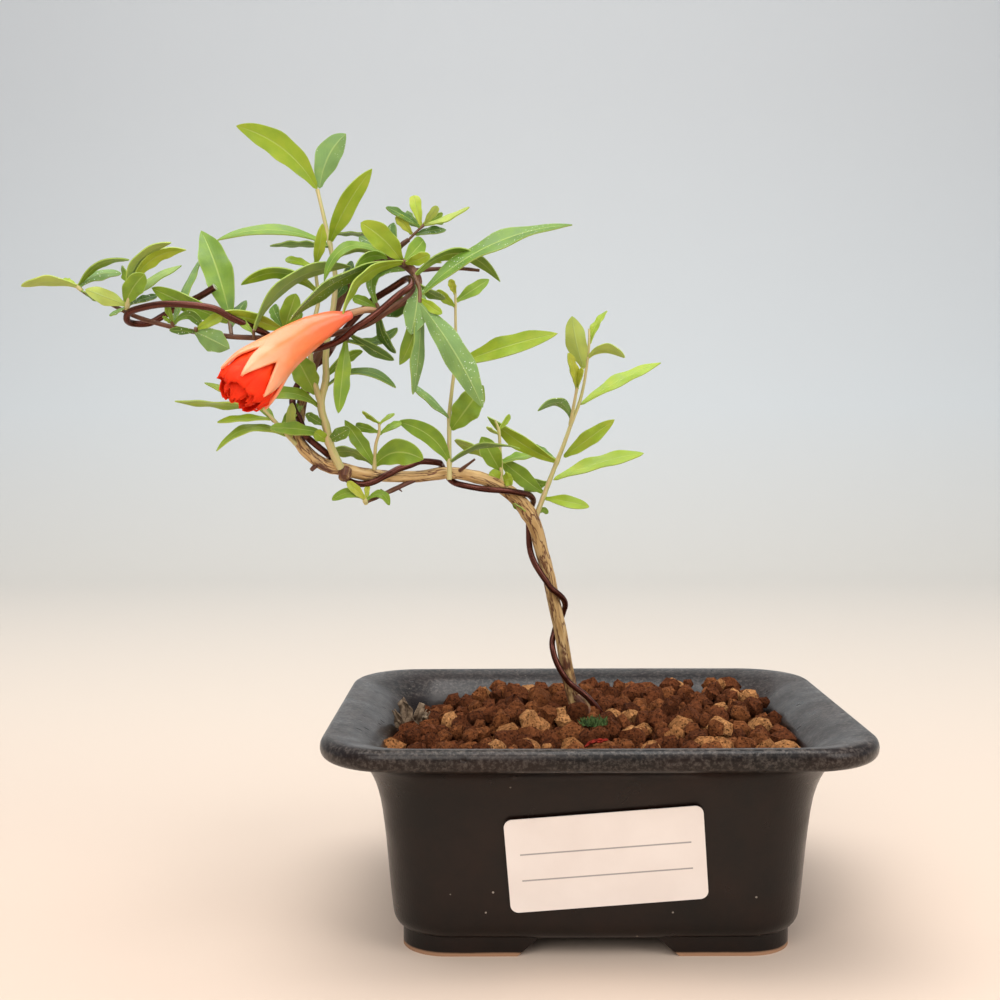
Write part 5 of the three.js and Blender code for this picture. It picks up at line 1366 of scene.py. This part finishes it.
# ---------------------------------------------------------------- flower petals
# Thin crumpled petals, still half folded together, that bulge out between and beyond the lobes.
PETAL_RADII = [
    (14, 1.2), (20, 2.9), (25, 4.2), (29, 5.2), (33, 6.5), (36, 7.1), (39.5, 6.2), (42, 3.4),
]
PETAL_RINGS = [  # petals, turn in petals, size, half width in degrees and reach
    (6, 0.85, 1.0, 46, 40.0), (5, 0.3, 0.68, 52, 41.5), (4, 0.1, 0.36, 60, 39.0),
]
PETAL_THICKNESS = 0.22 * MM
LOBE_TIPS = 36


def petal(number, count, turn, size, half, reach):
    centre = 2 * math.pi * (number + turn) / count
    draw = random.Random(int(900 + 10 * count + number))
    tip = reach + draw.uniform(-1.2, 0.8)
    lift, seed = draw.uniform(-0.25, 0.25), draw.uniform(0, 50)

    def shape(s, t):
        along = PETAL_RADII[0][0] + (tip - PETAL_RADII[0][0]) * s
        frill = noise.noise(Vector((t * 3.2, seed, 1.7)))
        along += s * s * (1.6 * frill - 1.7 * t * t)
        radius = np.interp(along, *zip(*PETAL_RADII)) * size + lift * s
        spread = math.radians(half) * min(1, 0.35 + 1.1 * s) * (1 - 0.25 * max(0, s - 0.75) * 4)
        around = centre + t * spread
        spot = Vector((2.3 * math.cos(around) * 2, 2.3 * math.sin(around) * 2, along / 2.6 + seed))
        crumple = 0.55 * noise.noise(spot) + 0.35 * noise.noise(spot * 2.7)
        crease = 0.5 * abs(noise.noise(Vector((around * 3.1, along / 7, seed)))) * s
        radius = max(radius + (crumple - crease) * min(1, s * 1.6) * (0.6 + 0.5 * size), 0.2)
        radius *= 1 - 0.10 * t * t * size
        if along < LOBE_TIPS:  # it stays under the lobes
            radius = min(radius, np.interp(along, *zip(*CALYX_RADII)) * 0.88 - 0.35)
        return radius * math.cos(around), radius * math.sin(around), along

    return curved_sheet("petal", 22, 18, shape, PETAL_THICKNESS)


sheets = [petal(number, *ring) for ring in PETAL_RINGS for number in range(ring[0])]
petals = join("crumpled_petals", *sheets)
bpy.ops.object.mode_set(mode="EDIT")
bpy.ops.mesh.select_all(action="SELECT")
bpy.ops.mesh.normals_make_consistent(inside=False)
bpy.ops.object.mode_set(mode="OBJECT")
bpy.ops.object.shade_smooth()

material, tree, shader = new_material(
    "scarlet_petal", Roughness=0.6, Subsurface_Weight=0.25, Subsurface_Scale=1.0 * MM,
    Specular_IOR_Level=0.15, Subsurface_Radius=(1.0, 0.2, 0.08),
)
place = place_on(tree)
shifted = plus(stored(tree, "along"), times(minus(noise_of(place, 240, 4), 0.5), 0.5))
colour = ramp(shifted, [
    (0.45, (0.95, 0.14, 0.02)), (0.7, (0.95, 0.062, 0.008)), (0.9, (0.92, 0.036, 0.006)),
])
feed(shader, Base_Color=colour, Normal=bump(noise_of(place, 800, 4, 0.6), 0.00025, 0.6))
wear(petals, material)
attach(petals, "root")
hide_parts("flower_petals")

# ---------------------------------------------------------------- label
# A stock label of coated paper with rounded corners, stuck on the front wall a little out of
# level. It carries only plain ruled lines.
LABEL_WIDTH, LABEL_HEIGHT, LABEL_CORNER = 52.5 * MM, 26 * MM, 2.2 * MM
LABEL_THICKNESS = 0.3 * MM
LABEL_SPOT = pot_middle + Vector((1.7, -47.05, 28.3)) * MM
LABEL_LEAN, LABEL_TURN = math.radians(7), math.radians(4.5)
RULES, RULE_HALF_WIDTH, RULE_REACH = [0.34, 0.62], 0.008, 0.43  # shares of the label's size

label = rounded_block(
    "stock_label", LABEL_WIDTH, LABEL_HEIGHT, LABEL_CORNER, 0, LABEL_THICKNESS, 30
)
label.data.transform(Matrix.Translation(-pot_middle))
layer = label.data.uv_layers.active or label.data.uv_layers.new(name="UVMap")
for loop in label.data.loops:
    spot = label.data.vertices[loop.vertex_index].co
    layer.data[loop.index].uv = (spot.x / LABEL_WIDTH + 0.5, spot.y / LABEL_HEIGHT + 0.5)
label.data.transform(
    Matrix.Translation(LABEL_SPOT)
    @ Matrix.Rotation(math.pi / 2 + LABEL_LEAN, 4, "X")
    @ Matrix.Rotation(LABEL_TURN, 4, "Z")
)

material, tree, shader = new_material(
    "coated_paper", Roughness=0.5, Coat_Weight=0.12, Coat_Roughness=0.3
)
place = place_on(tree)
uv = split(add_node(tree, "UVMap").outputs["UV"])
# The paper's own pale cream is warmed further by a painted warm cast of light bounced up onto the label.
colour = ramp(noise_of(place, 60, 5), [
    (0.35, (0.79, 0.71, 0.66)), (0.65, (0.84, 0.765, 0.715)),
])
inset = below(away_from(uv["X"], 0.5), RULE_REACH)
for height in RULES:
    line = below(away_from(uv["Y"], height), RULE_HALF_WIDTH)
    colour = blend(times(times(line, inset), 0.65), colour, (0.10, 0.10, 0.11))
feed(shader, Base_Color=colour, Normal=bump(noise_of(place, 1500, 3), 0.00003, 0.5))
wear(label, material)
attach(label, "root")
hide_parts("label")
